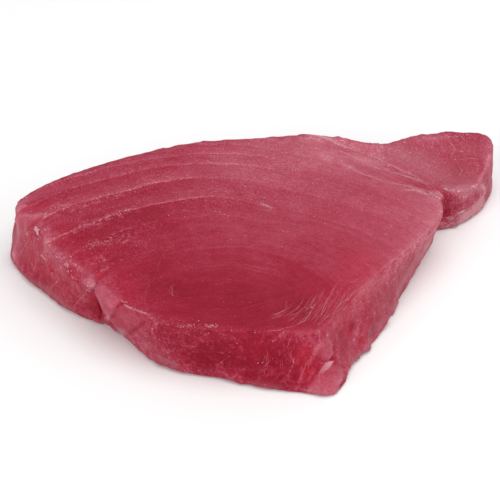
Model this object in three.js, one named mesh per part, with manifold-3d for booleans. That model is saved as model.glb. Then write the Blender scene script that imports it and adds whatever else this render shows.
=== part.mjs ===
// A raw tuna loin cut: one thick slab of flesh lying on a cut face, with a thinner flap
// of muscle running out of its right-hand end. Millimetres, +Z up, +X along its length.
import * as THREE from "three";
import { mergeVertices } from "three/addons/utils/BufferGeometryUtils.js";
import Module from "manifold-3d";

const { degToRad, lerp, smoothstep, smootherstep } = THREE.MathUtils;

// Driving dimensions.
const THICKNESS = 26;
const FOOT_RADIUS = 2.6;
const RIM_RADIUS = 1.6;
const OUTLINE_STEP = 3.4;
const CORNER_SOFTNESS = 3.5;
const SAG_BAND = 13;
const SWELL = 0.4;
const SWELL_WAVE = 62;

// The slab's outline at its upper rim, anticlockwise seen from above. Each corner gives its
// place, how far the edge after it bows outwards, how far the rim there sags below the cut
// face, and how far the foot stands outside the rim.
const SLAB_CENTRE = { x: -8, y: 6, z: THICKNESS };
const SLAB_CORNERS = [
  // The right-hand corner.
  { x: 83, y: 25, bow: 1, sag: 0.8, foot: -6.5 },
  { x: 80.5, y: 33, bow: 0, sag: 1.4, foot: -2 },
  // The seam where the flap leaves the slab.
  { x: 75, y: 42, bow: 0, sag: 3.4, foot: 4 },
  { x: 58, y: 60, bow: 1, sag: 2.6, foot: 4 },
  { x: 34.5, y: 82.2, bow: 1, sag: 0.5, foot: 0 },
  // The skin side.
  { x: 0, y: 78.5, bow: 2.5, sag: 0, foot: -2 },
  { x: -46, y: 67.5, bow: 2.5, sag: 0, foot: -1 },
  { x: -95, y: 36, bow: 1, sag: 0.3, foot: 0 },
  // The left-hand end.
  { x: -100.8, y: 27.5, bow: 0.5, sag: 0.6, foot: 4 },
  { x: -94.5, y: 14, bow: 0.5, sag: 1, foot: 7.6 },
  { x: -83, y: -6, bow: 0.5, sag: 1.2, foot: 3.4 },
  { x: -69, y: -26, bow: 0, sag: 2, foot: -1.5 },
  // The front, from the cleft to the lobe at the near corner.
  { x: -61, y: -35.5, bow: 0.5, sag: 2.4, foot: -9 },
  { x: -50, y: -46, bow: 0.5, sag: 1.4, foot: -5 },
  { x: -34, y: -56, bow: 1, sag: 0.6, foot: 0 },
  { x: -12, y: -61.5, bow: 0.5, sag: 0.4, foot: 0.6 },
  { x: 15, y: -61.5, bow: 0, sag: 0.3, foot: 9.4 },
  { x: 28, y: -60.5, bow: 0, sag: 0.8, foot: 12 },
  // The right side.
  { x: 37, y: -46, bow: 0, sag: 0.8, foot: 6.5 },
  { x: 44.5, y: -33.5, bow: 0, sag: 0.8, foot: 9.5 },
  { x: 52, y: -22, bow: 0, sag: 0.8, foot: 6.5 },
  { x: 70.5, y: -1, bow: 0, sag: 1, foot: -3 },
  { x: 80, y: 12, bow: 0.8, sag: 0.8, foot: -8.5 },
];

// Swellings and hollows of the slab's wall: where on the rim, how high above the floor, how
// far along and up they reach, and how far out they stand.
const BULGES = [
  // The lobe at the near corner, with a fold and a smaller lobe above it.
  { x: 28, y: -61, z: 3, along: 5.5, up: 6, out: 2.6 },
  { x: 27, y: -61, z: 11, along: 6, up: 2.4, out: -1.6 },
  { x: 23, y: -61.5, z: 18, along: 5, up: 5, out: 1.2 },
  // The tongue that hangs over the cleft, and the hollow on its left.
  { x: -57.5, y: -39, z: 14, along: 5.5, up: 8, out: 2.2 },
  { x: -67.5, y: -28, z: 9, along: 5, up: 9, out: -2 },
  // The dimple in the right side.
  { x: 42, y: -37, z: 15, along: 4, up: 5, out: -1.2 },
];

// The flap's outline, with its rim height at each corner in place of the sag. The last three
// corners lie inside the slab. Its upper face dips between its rims.
const FLAP_CENTRE = { x: 68, y: 61, z: 23 };
const FLAP_DIP = 0.9;
const FLAP_DIP_SHARE = 0.5;
const FLAP_CORNERS = [
  { x: 84, y: 44, z: 18.5, bow: 0.4, foot: 1.5 },
  { x: 92, y: 47, z: 17.7, bow: 0.6, foot: 2 },
  { x: 103, y: 57, z: 16, bow: 0.5, foot: 1.2 },
  { x: 107.5, y: 67, z: 21, bow: 0.5, foot: 1 },
  { x: 109, y: 80.5, z: 25, bow: 0.6, foot: 2 },
  { x: 103.5, y: 84.5, z: 26, bow: 0.3, foot: -1 },
  { x: 77, y: 82, z: 26, bow: -0.8, foot: -1 },
  { x: 58, y: 74.2, z: 25.6, bow: 0.4, foot: -1 },
  { x: 36, y: 81, z: 25.6, bow: 0, foot: -1 },
  { x: 42, y: 56, z: 21, bow: 0, foot: 0 },
  { x: 64, y: 34, z: 17, bow: 0, foot: 0 },
  { x: 75, y: 33, z: 16, bow: 0, foot: 0 },
];

// The cleft in the left of the front: a wedge whose line runs up the wall from foot to rim.
const CLEFT_FOOT = { x: -60.5, y: -25 };
const CLEFT_RIM = { x: -65.5, y: -31.5 };
const CLEFT_DEPTH = 7;
const CLEFT_MOUTH = 3;
const CLEFT_TURN = 221;

const wasm = await Module();
wasm.setup();

// A closed outline through the corners, with its edges bowed and its corners softened.
// Each point keeps the values that its corners give, and its outward normal.
function outlineOf(corners, keys) {
  const path = new THREE.Path();
  path.moveTo(corners[0].x, corners[0].y);
  corners.forEach((from, i) => {
    const to = corners[(i + 1) % corners.length];
    const along = new THREE.Vector2(to.x - from.x, to.y - from.y);
    const out = new THREE.Vector2(along.y, -along.x).normalize().multiplyScalar(2 * from.bow);
    path.quadraticCurveTo((from.x + to.x) / 2 + out.x, (from.y + to.y) / 2 + out.y, to.x, to.y);
  });
  const ends = [0, ...path.getCurveLengths()];
  const count = Math.round(path.getLength() / OUTLINE_STEP);
  const step = path.getLength() / count;
  const sharp = path.getSpacedPoints(count).slice(0, count).map((point, i) => {
    const edge = ends.findIndex((end) => end > i * step) - 1;
    const share = (i * step - ends[edge]) / (ends[edge + 1] - ends[edge]);
    const next = corners[(edge + 1) % corners.length];
    return [point.x, point.y, ...keys.map((key) => lerp(corners[edge][key], next[key], share))];
  });
  const soft = softened(sharp, Math.round(CORNER_SOFTNESS / step));
  return soft.map(([x, y, ...values], i) => {
    const before = soft[(i + count - 1) % count];
    const after = soft[(i + 1) % count];
    const normal = new THREE.Vector2(after[1] - before[1], before[0] - after[0]).normalize();
    return { x, y, normal, ...Object.fromEntries(keys.map((key, k) => [key, values[k]])) };
  });
}

// Rows of numbers round a closed loop, each averaged with its neighbours on both sides.
function softened(rows, reach) {
  const weightOf = (j) => reach + 1 - Math.abs(j);
  const neighbours = Array.from({ length: 2 * reach + 1 }, (_, j) => j - reach);
  const total = neighbours.reduce((sum, j) => sum + weightOf(j), 0);
  const rowAt = (i) => rows[(i + rows.length) % rows.length];
  return rows.map((row, i) =>
    row.map((_, k) => neighbours.reduce((sum, j) => sum + weightOf(j) * rowAt(i + j)[k], 0) / total),
  );
}

// A gentle swell of the cut face.
function swell(x, y) {
  const turn = (2 * Math.PI) / SWELL_WAVE;
  return SWELL * Math.sin(turn * x) * Math.cos(turn * y);
}

// How far the wall stands out at a place because of its swellings and hollows.
function bulgeAt(bulges, p, z) {
  return bulges.reduce((sum, bulge) => {
    const along = Math.hypot(p.x - bulge.x, p.y - bulge.y) / bulge.along;
    const up = (z - bulge.z) / bulge.up;
    return sum + bulge.out * Math.exp(-along * along - up * up);
  }, 0);
}

// A solid that stands on the floor inside an outline: closed rings run from the middle of the
// underside, round the foot, up the wall and over the rim to the middle of the upper face.
// faceHeight gives that face's height from the rim's, the share of the way out and the place.
function standingSolid(outline, centre, bulges, faceHeight) {
  const floorShares = [0.3, 0.62, 0.86];
  const footTurns = [0, 30, 60, 90].map(degToRad);
  const wallShares = [0.25, 0.5, 0.75];
  const rimTurns = [0, 45, 90].map(degToRad);
  const faceShares = [0.97, 0.93, 0.88, 0.81, 0.72, 0.61, 0.48, 0.34, 0.18];

  const wallRing = (heightOf, inset) =>
    outline.map((p) => {
      const z = heightOf(p);
      const out = p.foot * (1 - z / p.z) + bulgeAt(bulges, p, z) - inset;
      return [p.x + p.normal.x * out, p.y + p.normal.y * out, z];
    });
  const towardsCentre = (ring, share, heightOf) =>
    ring.map(([px, py, pz]) => {
      const x = lerp(centre.x, px, share);
      const y = lerp(centre.y, py, share);
      return [x, y, heightOf(pz, Math.hypot(px - centre.x, py - centre.y), x, y)];
    });

  const footRings = footTurns.map((turn) =>
    wallRing(() => FOOT_RADIUS * (1 - Math.cos(turn)), FOOT_RADIUS * (1 - Math.sin(turn))),
  );
  const wallRings = wallShares.map((share) =>
    wallRing((p) => lerp(FOOT_RADIUS, p.z - RIM_RADIUS, share), 0),
  );
  const rimRings = rimTurns.map((turn) =>
    wallRing((p) => p.z - RIM_RADIUS * (1 - Math.sin(turn)), RIM_RADIUS * (1 - Math.cos(turn))),
  );
  const floorRings = floorShares.map((share) => towardsCentre(footRings[0], share, () => 0));
  const faceRings = faceShares.map((share) =>
    towardsCentre(rimRings.at(-1), share, (rim, reach, x, y) =>
      faceHeight(rim, share, reach, x, y),
    ),
  );
  const bottom = [centre.x, centre.y, 0];
  const top = [centre.x, centre.y, faceHeight(centre.z, 0, SAG_BAND, centre.x, centre.y)];
  const rings = [...floorRings, ...footRings, ...wallRings, ...rimRings, ...faceRings];
  return solidOfRings(rings, bottom, top);
}

// One closed solid from rings of equally many points, capped by a fan at both ends.
function solidOfRings(rings, first, last) {
  const count = rings[0].length;
  const points = [first, ...rings.flat(), last];
  const at = (ring, i) => 1 + ring * count + (i % count);
  const triangles = [];
  for (let i = 0; i < count; i++) {
    triangles.push(0, at(0, i + 1), at(0, i));
    triangles.push(points.length - 1, at(rings.length - 1, i), at(rings.length - 1, i + 1));
    for (let ring = 0; ring + 1 < rings.length; ring++) {
      triangles.push(at(ring, i), at(ring, i + 1), at(ring + 1, i + 1));
      triangles.push(at(ring, i), at(ring + 1, i + 1), at(ring + 1, i));
    }
  }
  const geometry = new THREE.BufferGeometry();
  geometry.setAttribute("position", new THREE.Float32BufferAttribute(points.flat(), 3));
  geometry.setIndex(triangles);
  return solidOf(geometry);
}

// A closed three.js geometry as a solid for joining and cutting.
function solidOf(geometry) {
  const bare = geometry.clone();
  bare.deleteAttribute("normal");
  bare.deleteAttribute("uv");
  const merged = mergeVertices(bare);
  return new wasm.Manifold(
    new wasm.Mesh({
      numProp: 3,
      vertProperties: merged.attributes.position.array,
      triVerts: new Uint32Array(merged.index.array),
    }),
  );
}

// A solid back as a three.js geometry, centred over the origin and standing on the floor.
function geometryOf(solid) {
  const mesh = solid.getMesh();
  const geometry = new THREE.BufferGeometry();
  geometry.setAttribute("position", new THREE.BufferAttribute(mesh.vertProperties, 3));
  geometry.setIndex(new THREE.BufferAttribute(mesh.triVerts, 1));
  geometry.computeBoundingBox();
  const middle = geometry.boundingBox.getCenter(new THREE.Vector3());
  geometry.translate(-middle.x, -middle.y, -geometry.boundingBox.min.z);
  geometry.computeVertexNormals();
  return geometry;
}

// The slab: its cut face is level, with a gentle swell, and sags towards its rim.
function slabSolid() {
  const outline = outlineOf(SLAB_CORNERS, ["sag", "foot"]);
  const rimmed = outline.map((p) => ({ ...p, z: THICKNESS - p.sag }));
  return standingSolid(rimmed, SLAB_CENTRE, BULGES, (rim, share, reach, x, y) => {
    const level = smootherstep((1 - share) * reach, 0, SAG_BAND);
    return lerp(rim, THICKNESS, level) + level * swell(x, y);
  });
}

// The flap: its upper face runs from its rims to its middle, with a dip between.
function flapSolid() {
  const outline = outlineOf(FLAP_CORNERS, ["z", "foot"]);
  return standingSolid(outline, FLAP_CENTRE, [], (rim, share) => {
    const dip = FLAP_DIP * smoothstep(1 - share, 0, FLAP_DIP_SHARE);
    return lerp(FLAP_CENTRE.z, rim, share) - dip;
  });
}

// The wedge that opens the cleft: its edge lies inside the slab and its mouth outside, and
// it leans with the wall.
function cleftSolid() {
  const wedge = new THREE.Shape();
  wedge.moveTo(-CLEFT_DEPTH, 0);
  wedge.lineTo(CLEFT_DEPTH, -CLEFT_MOUTH);
  wedge.lineTo(CLEFT_DEPTH, CLEFT_MOUTH);
  const prism = new THREE.ExtrudeGeometry(wedge, { depth: 3 * THICKNESS, bevelEnabled: false });
  prism.translate(0, 0, -THICKNESS);
  prism.rotateZ(degToRad(CLEFT_TURN));
  const leanX = (CLEFT_RIM.x - CLEFT_FOOT.x) / THICKNESS;
  const leanY = (CLEFT_RIM.y - CLEFT_FOOT.y) / THICKNESS;
  prism.applyMatrix4(new THREE.Matrix4().makeShear(0, 0, 0, 0, leanX, leanY));
  prism.translate(CLEFT_FOOT.x, CLEFT_FOOT.y, 0);
  return solidOf(prism);
}

const flesh = new THREE.MeshStandardMaterial({ color: 0xa83f52, roughness: 0.45, metalness: 0 });
const loin = new THREE.Mesh(geometryOf(slabSolid().add(flapSolid()).subtract(cleftSolid())), flesh);
loin.name = "tuna_loin";

const group = new THREE.Group();
group.add(loin);

export default group;
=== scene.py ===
# Looks of one raw tuna loin: moist pink-red flesh with pale rings, strands and crumbs, on a pale floor.
import itertools
import math

import bpy
import numpy as np
from mathutils import Matrix, Quaternion, Vector
from mathutils.bvhtree import BVHTree


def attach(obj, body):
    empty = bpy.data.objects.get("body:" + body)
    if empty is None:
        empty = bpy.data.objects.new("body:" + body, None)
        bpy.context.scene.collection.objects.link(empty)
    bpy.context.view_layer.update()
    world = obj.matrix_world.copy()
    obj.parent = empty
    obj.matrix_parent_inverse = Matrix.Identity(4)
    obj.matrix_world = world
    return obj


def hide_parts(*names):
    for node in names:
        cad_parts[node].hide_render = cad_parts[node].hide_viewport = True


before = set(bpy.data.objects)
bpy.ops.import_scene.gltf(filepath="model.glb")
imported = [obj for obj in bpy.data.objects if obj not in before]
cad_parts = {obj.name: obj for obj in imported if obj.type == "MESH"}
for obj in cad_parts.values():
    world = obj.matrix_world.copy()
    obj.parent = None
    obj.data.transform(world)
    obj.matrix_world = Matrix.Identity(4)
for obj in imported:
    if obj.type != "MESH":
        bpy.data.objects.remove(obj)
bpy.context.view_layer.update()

# Lengths are in millimetres, in the part's frame, unless a name says otherwise.
NODE = "tuna_loin"
BODY = "root"
METRE = 1000.0

# Camera: where it stands, and the photograph's frame, in which the pixels below are given.
FRAME_PIXELS = 500
FRAME_MIDDLE = FRAME_PIXELS / 2
SENSOR_WIDTH = 36.0
CAMERA_RISE = math.radians(36)
CAMERA_DISTANCE = 800.0
CAMERA_TARGET = Vector((-3.0, -6.0, 13.0))
CAMERA_CLIP_METRES = (0.01, 20.0)
TARGET_PIXEL = (251.0, 263.0)
PIXELS_PER_MM = 2.377

# Surface of the flesh: size of its mesh, how much that is smoothed, steps of a path drawn on it, and
# how many half widths a stroke reaches.
VOXEL = 0.8
SMOOTH_FACTOR = 0.5
SMOOTH_ROUNDS = 4
TRACE_STEP = 0.8
STROKE_REACH = 3.0

# Rings of muscle seen in the cut faces: nested ovals round an eye. Where two values stand, they are for the
# left and the right.
RING_EYE = (-13.0, -42.0)
RING_CORE = (16.4, 12.0)
RING_WIDENING = (1.13, 1.05)
RING_ROUNDNESS = (1.6, 1.35)
RING_FRONT_SQUASH = 0.8
RING_SPAN = 130.0
RING_ROUNDS = 50

# Distances from the eye over which the ovals change: to the right, to the front, and into the front corner.
RING_SIDE_BLEND = (-18.0, 18.0)
RING_FRONT_BLEND = (-8.0, 8.0)
RING_CORNER_BLEND = (-25.0, 5.0)

# Each ring: its half depth, and how strong its haze and its speckled crest are. Both are sharp on the inner
# side and fade outwards.
RINGS = (
    (5.5, 0.15, 0.2), (16, 0.15, 0.25), (30, 0.15, 0.2), (45, 0.2, 0.2), (54.5, 0.5, 0.75),
    (68.3, 0.7, 0.85), (84, 0.85, 1.0), (96, 0.5, 0.75), (104, 0.45, 0.65), (112, 0.4, 0.5),
)
RING_RISE = 0.5
RING_CREST = 1.7
RING_FADE = 11.0
RING_STEP = 0.28
RING_LEAN = 0.25
RING_STRENGTH = 0.85
RING_ON_WALL = 0.15

# How far along the loin the rings of each half depth stay strong, half the length over which they wane,
# and what is left.
RING_REACH = (
    (36.0, 70.0), (45.0, -60.0), (54.5, -50.0), (68.3, -18.0), (84.0, -24.0), (96.0, -8.0), (104.0, 4.0),
)
RING_WANING = 16.0
RING_REMNANT = 0.24

# The rings behind the eye lie farther forward on the right: how far, and the stretch of the loin on which
# they get there.
RING_TURN = 5.0
RING_TURN_STRETCH = (-50.0, 5.0)
RING_TURN_DEPTH = (-15.0, 20.0)

# Grain along the rings: lumps to one radian of a ring, and lumps to one millimetre across it.
GRAIN_LENGTH = 12.0
GRAIN_FINENESS = 1.0

# Layers of muscle on the sides at the back: they stand round a centre in plan, at a usual distance from it,
# with a width, a lean, and how far they bulge and lie back.
LAYER_CENTRE = (0.0, -10.0)
LAYER_DISTANCE = 80.0
LAYER_WIDTH = 13.0
LAYER_LEAN = 0.55
LAYER_BULGE = 0.9
LAYER_SINK = 0.75

# The flap begins along a straight seam, given by a point on it and its slope.
SEAM_POINT = (37.9, 48.7)
SEAM_SLOPE = -0.574

# Parts of the surface, told by the tilt of its normal or by its place: each pair says where a part begins
# and where it is full.
FACING_SHARE = (0.0, 0.15)
CUT_TILT = (0.45, 0.85)
RIM_HEIGHTS = (14.0, 20.0)
FOOT_DEPTHS = (-8.0, -1.0)
SEAM_BLEND = (-2.0, 2.0)
FLAP_BLEND = (8.0, 14.0)
FLAP_STRETCH = (22.0, 40.0)
REAR_TURN = (0.25, 0.55)
REAR_TILT = (0.2, 0.5)

# Unevenness: rows of strength, size of the largest lumps, seed, and how many sizes of lumps there are.
RING_WAVES = ((1.0, 14.0, 11, 2), (0.4, 3.0, 15, 1))
RING_BREAKS = ((0.35, 13.0, 17, 1),)
CUT_WAVES = ((0.2, 16.0, 21, 3), (0.06, 2.5, 25, 1))
FLUTE_WAVES = ((0.45, 11.0, 31, 3),)
FLUTE_STRETCH = (1, 1, 0.6)
WALL_WAVES = ((0.2, 3.0, 35, 1),)
FOOT_WAVES = ((0.7, 8.0, 41, 2), (0.35, 2.5, 45, 1))
EDGE_WAVES = ((0.5, 3.5, 51, 2),)
UNDER_WAVES = ((0.15, 12.0, 61, 3),)
LAYER_WAVES = ((0.22, 22.0, 71, 2),)
HIDDEN_WAVES = ((0.9, 30.0, 73, 1),)
HIDDEN_CLOUDS = ((0.16, 34.0, 75, 3),)

# The rim is calmer on the right, and the rear edge rougher: by how much, and on which stretch of the loin.
RIM_CALM = 0.75
RIM_CALM_STRETCH = (40.0, 55.0)
REAR_ROUGHNESS = (0.7, 0.8)
REAR_ROUGH_STRETCH = (60.0, 75.0)

# The underside is sunk a little, less along its rings.
UNDER_SINK = 0.25
UNDER_RING_SINK = 0.25
UNDER_LIMITS = (0.02, 0.6)

# Where the sides are mottled: share of the mottling everywhere, how far a side faces the front where it is
# full, and how much of it the smooth patches lose.
MOTTLED_LEAST = 0.4
MOTTLED_TURN = (0.3, 0.8)
MOTTLED_LOSS = 0.8

# Where the flesh is crumbly: share everywhere, the left end and the back where it is full, how much it
# wanes to the right and where, share on mottled sides, how much the smooth patches lose, and the least
# ring edge that bears crumbs.
CRUMBLY_LEAST = 0.4
CRUMBLY_LEFT = (25.0, 50.0)
CRUMBLY_BACK = (-15.0, 25.0)
CRUMBLY_WANING = 0.65
CRUMBLY_WANING_STRETCH = (15.0, 45.0)
CRUMBLY_SIDES = 0.7
CRUMBLY_LOSS = 0.6
CRUMBLY_EDGE = 0.35

# Tones of the flesh, from 0 for the deepest to 1 for the palest.
BASE_TONE = 0.33
# Painted highlight along the rims of the cut faces
RIM_HIGHLIGHT_TONE = 0.08
# Painted light bounced up from the pale floor, paling the feet of the sides
FOOT_BOUNCE_LIGHT_TONE = 0.1
WALL_TONE = 0.02
HIDDEN_TONE = 0.05
# Painted shade: the relief's grooves get deeper, its raised lines and patches paler
RELIEF_SHADE_TONE = 0.2

# Paths in pixels that more than one of the tables below follows
LEFT_RIM_LINE = [(18, 220), (23, 215), (30, 216), (42, 215)]
# In the tones this edge is lightened partly as painted light on its face turned away from the light
LEFT_EDGE = [(19, 208), (17, 227), (16, 243), (16, 256)]
FRONT_RIB = [(262, 372), (267, 362), (268, 352)]
MIDDLE_RIB = [(291, 354), (294, 364)]
LOW_RIB = [(304, 370), (301, 378)]
RIB_BY_LOBE = [(315, 369), (308, 381)]
RIB_BELOW_DOME = [(318, 344), (314, 355), (310, 361)]
RIB_LEFT_OF_DOME = [(313, 340), (315, 345), (313, 355), (308, 364)]
DOME_RIB = [(318, 330), (321, 345)]
RIGHT_FOLD = [(358, 325), (357, 334), (353, 341)]
SEAM_LIP = [(406, 190), (417, 190), (426, 194), (437, 194), (441, 196)]
SEAM_GROOVE = [(395, 177), (412, 184), (429, 190)]
FLAP_EDGE = [(479, 181), (485, 170), (489, 156)]

# Deep lines and ridges of the surface: path in pixels, half width, height.
RELIEF = (
    ([(45, 229), (47, 240), (48, 247), (55, 253), (67, 261), (81, 270), (91, 279)], 2.0, 0.7),
    ([(71, 270), (75, 276), (79, 284)], 1.2, -0.9), ([(87, 277), (92, 283)], 2.2, 0.9),
    ([(90, 290)], 1.2, 0.8), (LEFT_RIM_LINE, 1.0, 0.6), ([(28, 229), (34, 223), (41, 218)], 1.0, -0.6),
    ([(52, 271)], 1.1, -0.8), ([(16, 254)], 2.0, 1.2), ([(96, 280), (99, 277), (104, 273)], 1.1, -0.9),
    ([(121, 302), (116, 308), (112, 318)], 0.9, -0.7), ([(145, 322), (138, 327), (130, 334)], 0.8, -0.8),
    ([(205, 358), (225, 372), (238, 380)], 0.8, -0.4), (FRONT_RIB, 0.7, 0.35),
    ([(288, 380), (290, 370), (295, 358)], 0.7, 0.35), (RIB_LEFT_OF_DOME, 0.8, 0.35),
    (RIB_BELOW_DOME, 0.8, 0.35), (RIB_BY_LOBE, 0.9, 0.4), (LOW_RIB, 0.8, 0.35), (MIDDLE_RIB, 0.8, 0.35),
    (DOME_RIB, 0.7, 0.35), ([(297, 386), (297, 374), (302, 362)], 0.7, -0.35),
    ([(334, 341), (336, 348), (335, 355)], 1.0, -0.2), ([(333, 359)], 1.0, -0.9),
    ([(318, 360), (325, 363), (332, 360)], 0.8, -0.15), ([(310, 384), (315, 376), (319, 369)], 0.9, -0.5),
    ([(349, 331), (350, 327)], 1.6, -0.7), ([(361, 340)], 1.6, -0.7), (RIGHT_FOLD, 0.8, 0.4),
    ([(340, 163), (362, 173), (380, 181), (411, 187), (428, 192), (438, 193)], 1.1, 0.5),
    ([(395, 180), (415, 184), (430, 188), (440, 190)], 1.1, -0.3), ([(437, 193), (440, 195)], 1.0, 0.4),
    ([(340, 151), (380, 169), (405, 176), (430, 186)], 0.8, 0.3), ([(320, 138), (363, 153)], 0.9, 0.15),
    ([(369, 155), (401, 170), (415, 176), (430, 186)], 0.9, 0.2),
    ([(446, 191), (462, 191), (480, 187)], 1.6, 0.4), (FLAP_EDGE, 0.9, 0.5),
    ([(447, 220), (462, 212), (474, 204), (483, 195)], 1.0, 0.6),
    ([(446, 212), (460, 205), (474, 197)], 1.2, -0.6), ([(262, 140)], 1.2, 0.6), ([(299, 139)], 1.2, 0.5),
    ([(320, 139)], 1.2, 0.5),
)

# Paler or deeper lines: path in pixels, half width, change of the tone.
TONES = (
    ([(20, 205), (40, 228), (62, 258), (88, 282)], 6.0, 0.04),
    # The first row here paints the soft highlight along the right rim
    ([(430, 228), (390, 266), (356, 300)], 5.0, 0.13), ([(47, 258), (58, 266), (66, 272)], 3.0, 0.12),
    (RIB_LEFT_OF_DOME, 1.2, 0.14), (RIB_BELOW_DOME, 0.9, 0.12), (RIB_BY_LOBE, 1.0, 0.16),
    (LOW_RIB, 0.9, 0.14), (MIDDLE_RIB, 0.9, 0.14), (RIGHT_FOLD, 0.8, 0.08), (SEAM_LIP, 1.6, 0.15),
    (SEAM_GROOVE, 1.4, -0.06), ([(437, 198), (440, 203)], 2.5, 0.1), ([(436, 212), (429, 217)], 3.0, -0.08),
    ([(457, 196), (472, 198)], 3.0, 0.2),
    ([(442, 227), (462, 221), (472, 214), (482, 206), (487, 197)], 2.5, 0.12), (FLAP_EDGE, 1.2, 0.16),
    ([(375, 300), (390, 295)], 6.0, -0.06), ([(220, 230), (260, 235)], 12.0, 0.08),
    ([(350, 270), (362, 262)], 9.0, 0.06), ([(26, 240), (30, 262), (50, 282)], 8.0, 0.05),
    # The second row here is painted shadow on the tongue's left margin, beside the cleft
    ([(128, 316), (140, 330), (160, 352)], 7.0, 0.08), ([(97, 302), (101, 312)], 3.0, -0.2),
    ([(180, 345), (250, 355)], 12.0, -0.18), ([(200, 366), (212, 358)], 6.0, -0.2),
    ([(243, 362), (256, 345)], 6.0, -0.16), ([(275, 350), (300, 365)], 9.0, -0.2),
    ([(170, 290), (250, 300), (290, 300)], 17.0, -0.2), ([(200, 262), (260, 268)], 14.0, -0.05),
    ([(90, 240), (150, 215)], 13.0, -0.18), ([(60, 195), (110, 190)], 9.0, -0.04),
    ([(311, 388), (336, 384)], 5.0, 0.2), ([(305, 385), (310, 378), (316, 370)], 1.2, -0.14),
    # The second row here lightens the pale little flap at the foot under the tongue, partly as painted light
    # against the overhang's shade
    ([(316, 380), (319, 371)], 1.2, 0.08), ([(115, 325), (124, 332)], 1.8, 0.09),
    # The second row here paints the soft highlight along the right rim
    ([(314, 387), (332, 386)], 3.0, -0.04), ([(440, 212), (402, 260), (370, 294), (342, 324)], 4.0, 0.17),
    ([(420, 250), (393, 300), (366, 336), (345, 358)], 11.0, 0.05),
    # These two rows paint the soft sheen over the back right of the top as paler flesh
    ([(260, 160), (330, 175), (400, 195), (430, 205)], 24.0, 0.28), ([(380, 155), (415, 165)], 12.0, 0.2),
    ([(470, 150), (455, 140)], 10.0, 0.08), ([(446, 200), (447, 213)], 2.6, -0.22),
    ([(458, 206), (464, 204)], 3.0, 0.1), ([(446, 189), (460, 189), (478, 186)], 3.0, 0.26),
    ([(465, 216), (482, 203)], 4.0, 0.55), ([(312, 138), (330, 140), (350, 145)], 4.0, 0.36),
    ([(18, 205), (45, 191), (70, 180)], 3.0, 0.1), ([(488, 142), (490, 165)], 2.5, 0.15),
    ([(285, 245), (305, 255)], 9.0, 0.06), ([(360, 215), (400, 220)], 10.0, 0.03),
    ([(262, 335), (300, 333), (330, 336)], 3.0, 0.14), ([(342, 330), (344, 345)], 4.0, -0.07),
    # The second row here is a painted highlight on the rounded shoulder of the left end
    ([(395, 290), (400, 280)], 4.0, -0.04), ([(30, 240), (45, 258), (62, 272)], 4.0, 0.05),
    ([(30, 270), (60, 295), (80, 305)], 6.0, -0.1), ([(90, 295), (97, 303)], 2.5, -0.14),
    ([(40, 262), (55, 268)], 3.0, -0.08), ([(30, 228), (45, 235)], 3.5, -0.14),
    ([(400, 160), (420, 170)], 6.0, -0.08), ([(262, 376), (298, 384)], 4.0, -0.16),
    # The first row here lightens the foot under the tongue, partly as painted light against the overhang's
    # shade
    ([(118, 329), (129, 336)], 3.0, 0.18), ([(300, 142), (322, 152), (345, 158), (364, 160)], 6.0, 0.18),
    ([(360, 145), (380, 147)], 3.0, 0.14), ([(318, 177), (357, 189), (384, 196)], 7.0, -0.12),
    ([(428, 245), (412, 275), (396, 303)], 3.0, 0.17), ([(423, 230), (420, 241)], 4.0, -0.12),
    ([(444, 192), (457, 195)], 2.5, -0.22), ([(461, 214), (469, 207), (478, 200)], 3.0, -0.2),
    # The last row here is painted shadow on the tongue's left margin, beside the cleft
    ([(418, 140), (445, 138)], 2.5, 0.16), (LEFT_EDGE, 3.0, 0.3), ([(99, 302), (102, 308)], 2.0, -0.2),
    ([(127, 241), (132, 267), (152, 260)], 6.0, -0.08), ([(359, 308), (339, 294)], 5.0, -0.08),
    ([(22, 206), (42, 200)], 2.0, -0.12), ([(45, 285), (60, 297)], 4.0, -0.08),
    ([(103, 289), (112, 310)], 2.5, 0.07), ([(97, 315), (99, 319)], 2.0, 0.16),
    # The first row here lightens the crevice left of the tongue against the shade that falls in it
    ([(93, 292), (96, 299), (98.5, 306), (101, 313)], 1.0, 0.3), ([(101, 300), (106, 310)], 1.5, -0.1),
    # The first row here lightens the foot under the tongue, partly as painted light against the overhang's
    # shade
    ([(116, 330), (122, 333)], 1.3, 0.4), ([(100, 216), (48, 212)], 2.5, -0.06),
    ([(302, 333), (341, 336)], 3.0, -0.07), ([(136, 302), (174, 244)], 5.0, -0.04),
    ([(264, 207), (270, 211)], 2.5, 0.14), ([(319, 229), (345, 228), (358, 231)], 6.0, 0.1),
    ([(80, 250), (95, 250)], 3.0, -0.07), ([(418, 192), (430, 196), (438, 198)], 1.8, 0.14),
    ([(80, 245), (71, 230)], 3.0, -0.07), ([(160, 290), (130, 280)], 6.0, -0.04),
    ([(235, 374), (221, 365)], 3.0, -0.08), ([(127, 207), (100, 217)], 2.5, -0.08),
    ([(320, 145), (335, 150)], 3.0, 0.1), ([(145, 317), (175, 319)], 2.5, 0.08),
    # Both rows here are painted shadow on the tongue's left margin, beside the cleft
    ([(97, 300), (100, 311)], 1.2, -0.2), ([(99, 299), (102, 305), (105, 313)], 1.4, -0.3),
    ([(106, 303), (109, 307)], 2.0, -0.16), ([(328, 333), (341, 316), (361, 293), (376, 276)], 1.2, 0.12),
    ([(256, 310), (241, 301)], 5.0, -0.06), ([(426, 240), (432, 231)], 2.5, -0.1),
    ([(172, 319), (189, 320)], 2.0, 0.1), ([(168, 150), (182, 147)], 2.5, 0.12),
    ([(425, 137), (437, 137)], 2.0, 0.12), ([(40, 274), (50, 286)], 3.0, -0.09),
    ([(87, 278), (59, 262)], 1.5, -0.07), ([(289, 138), (282, 145)], 2.0, 0.12),
    ([(228, 155), (276, 159)], 4.0, -0.09), ([(341, 323), (358, 326)], 2.5, -0.07),
    ([(255, 380), (284, 386)], 3.0, -0.08),
)

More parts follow.
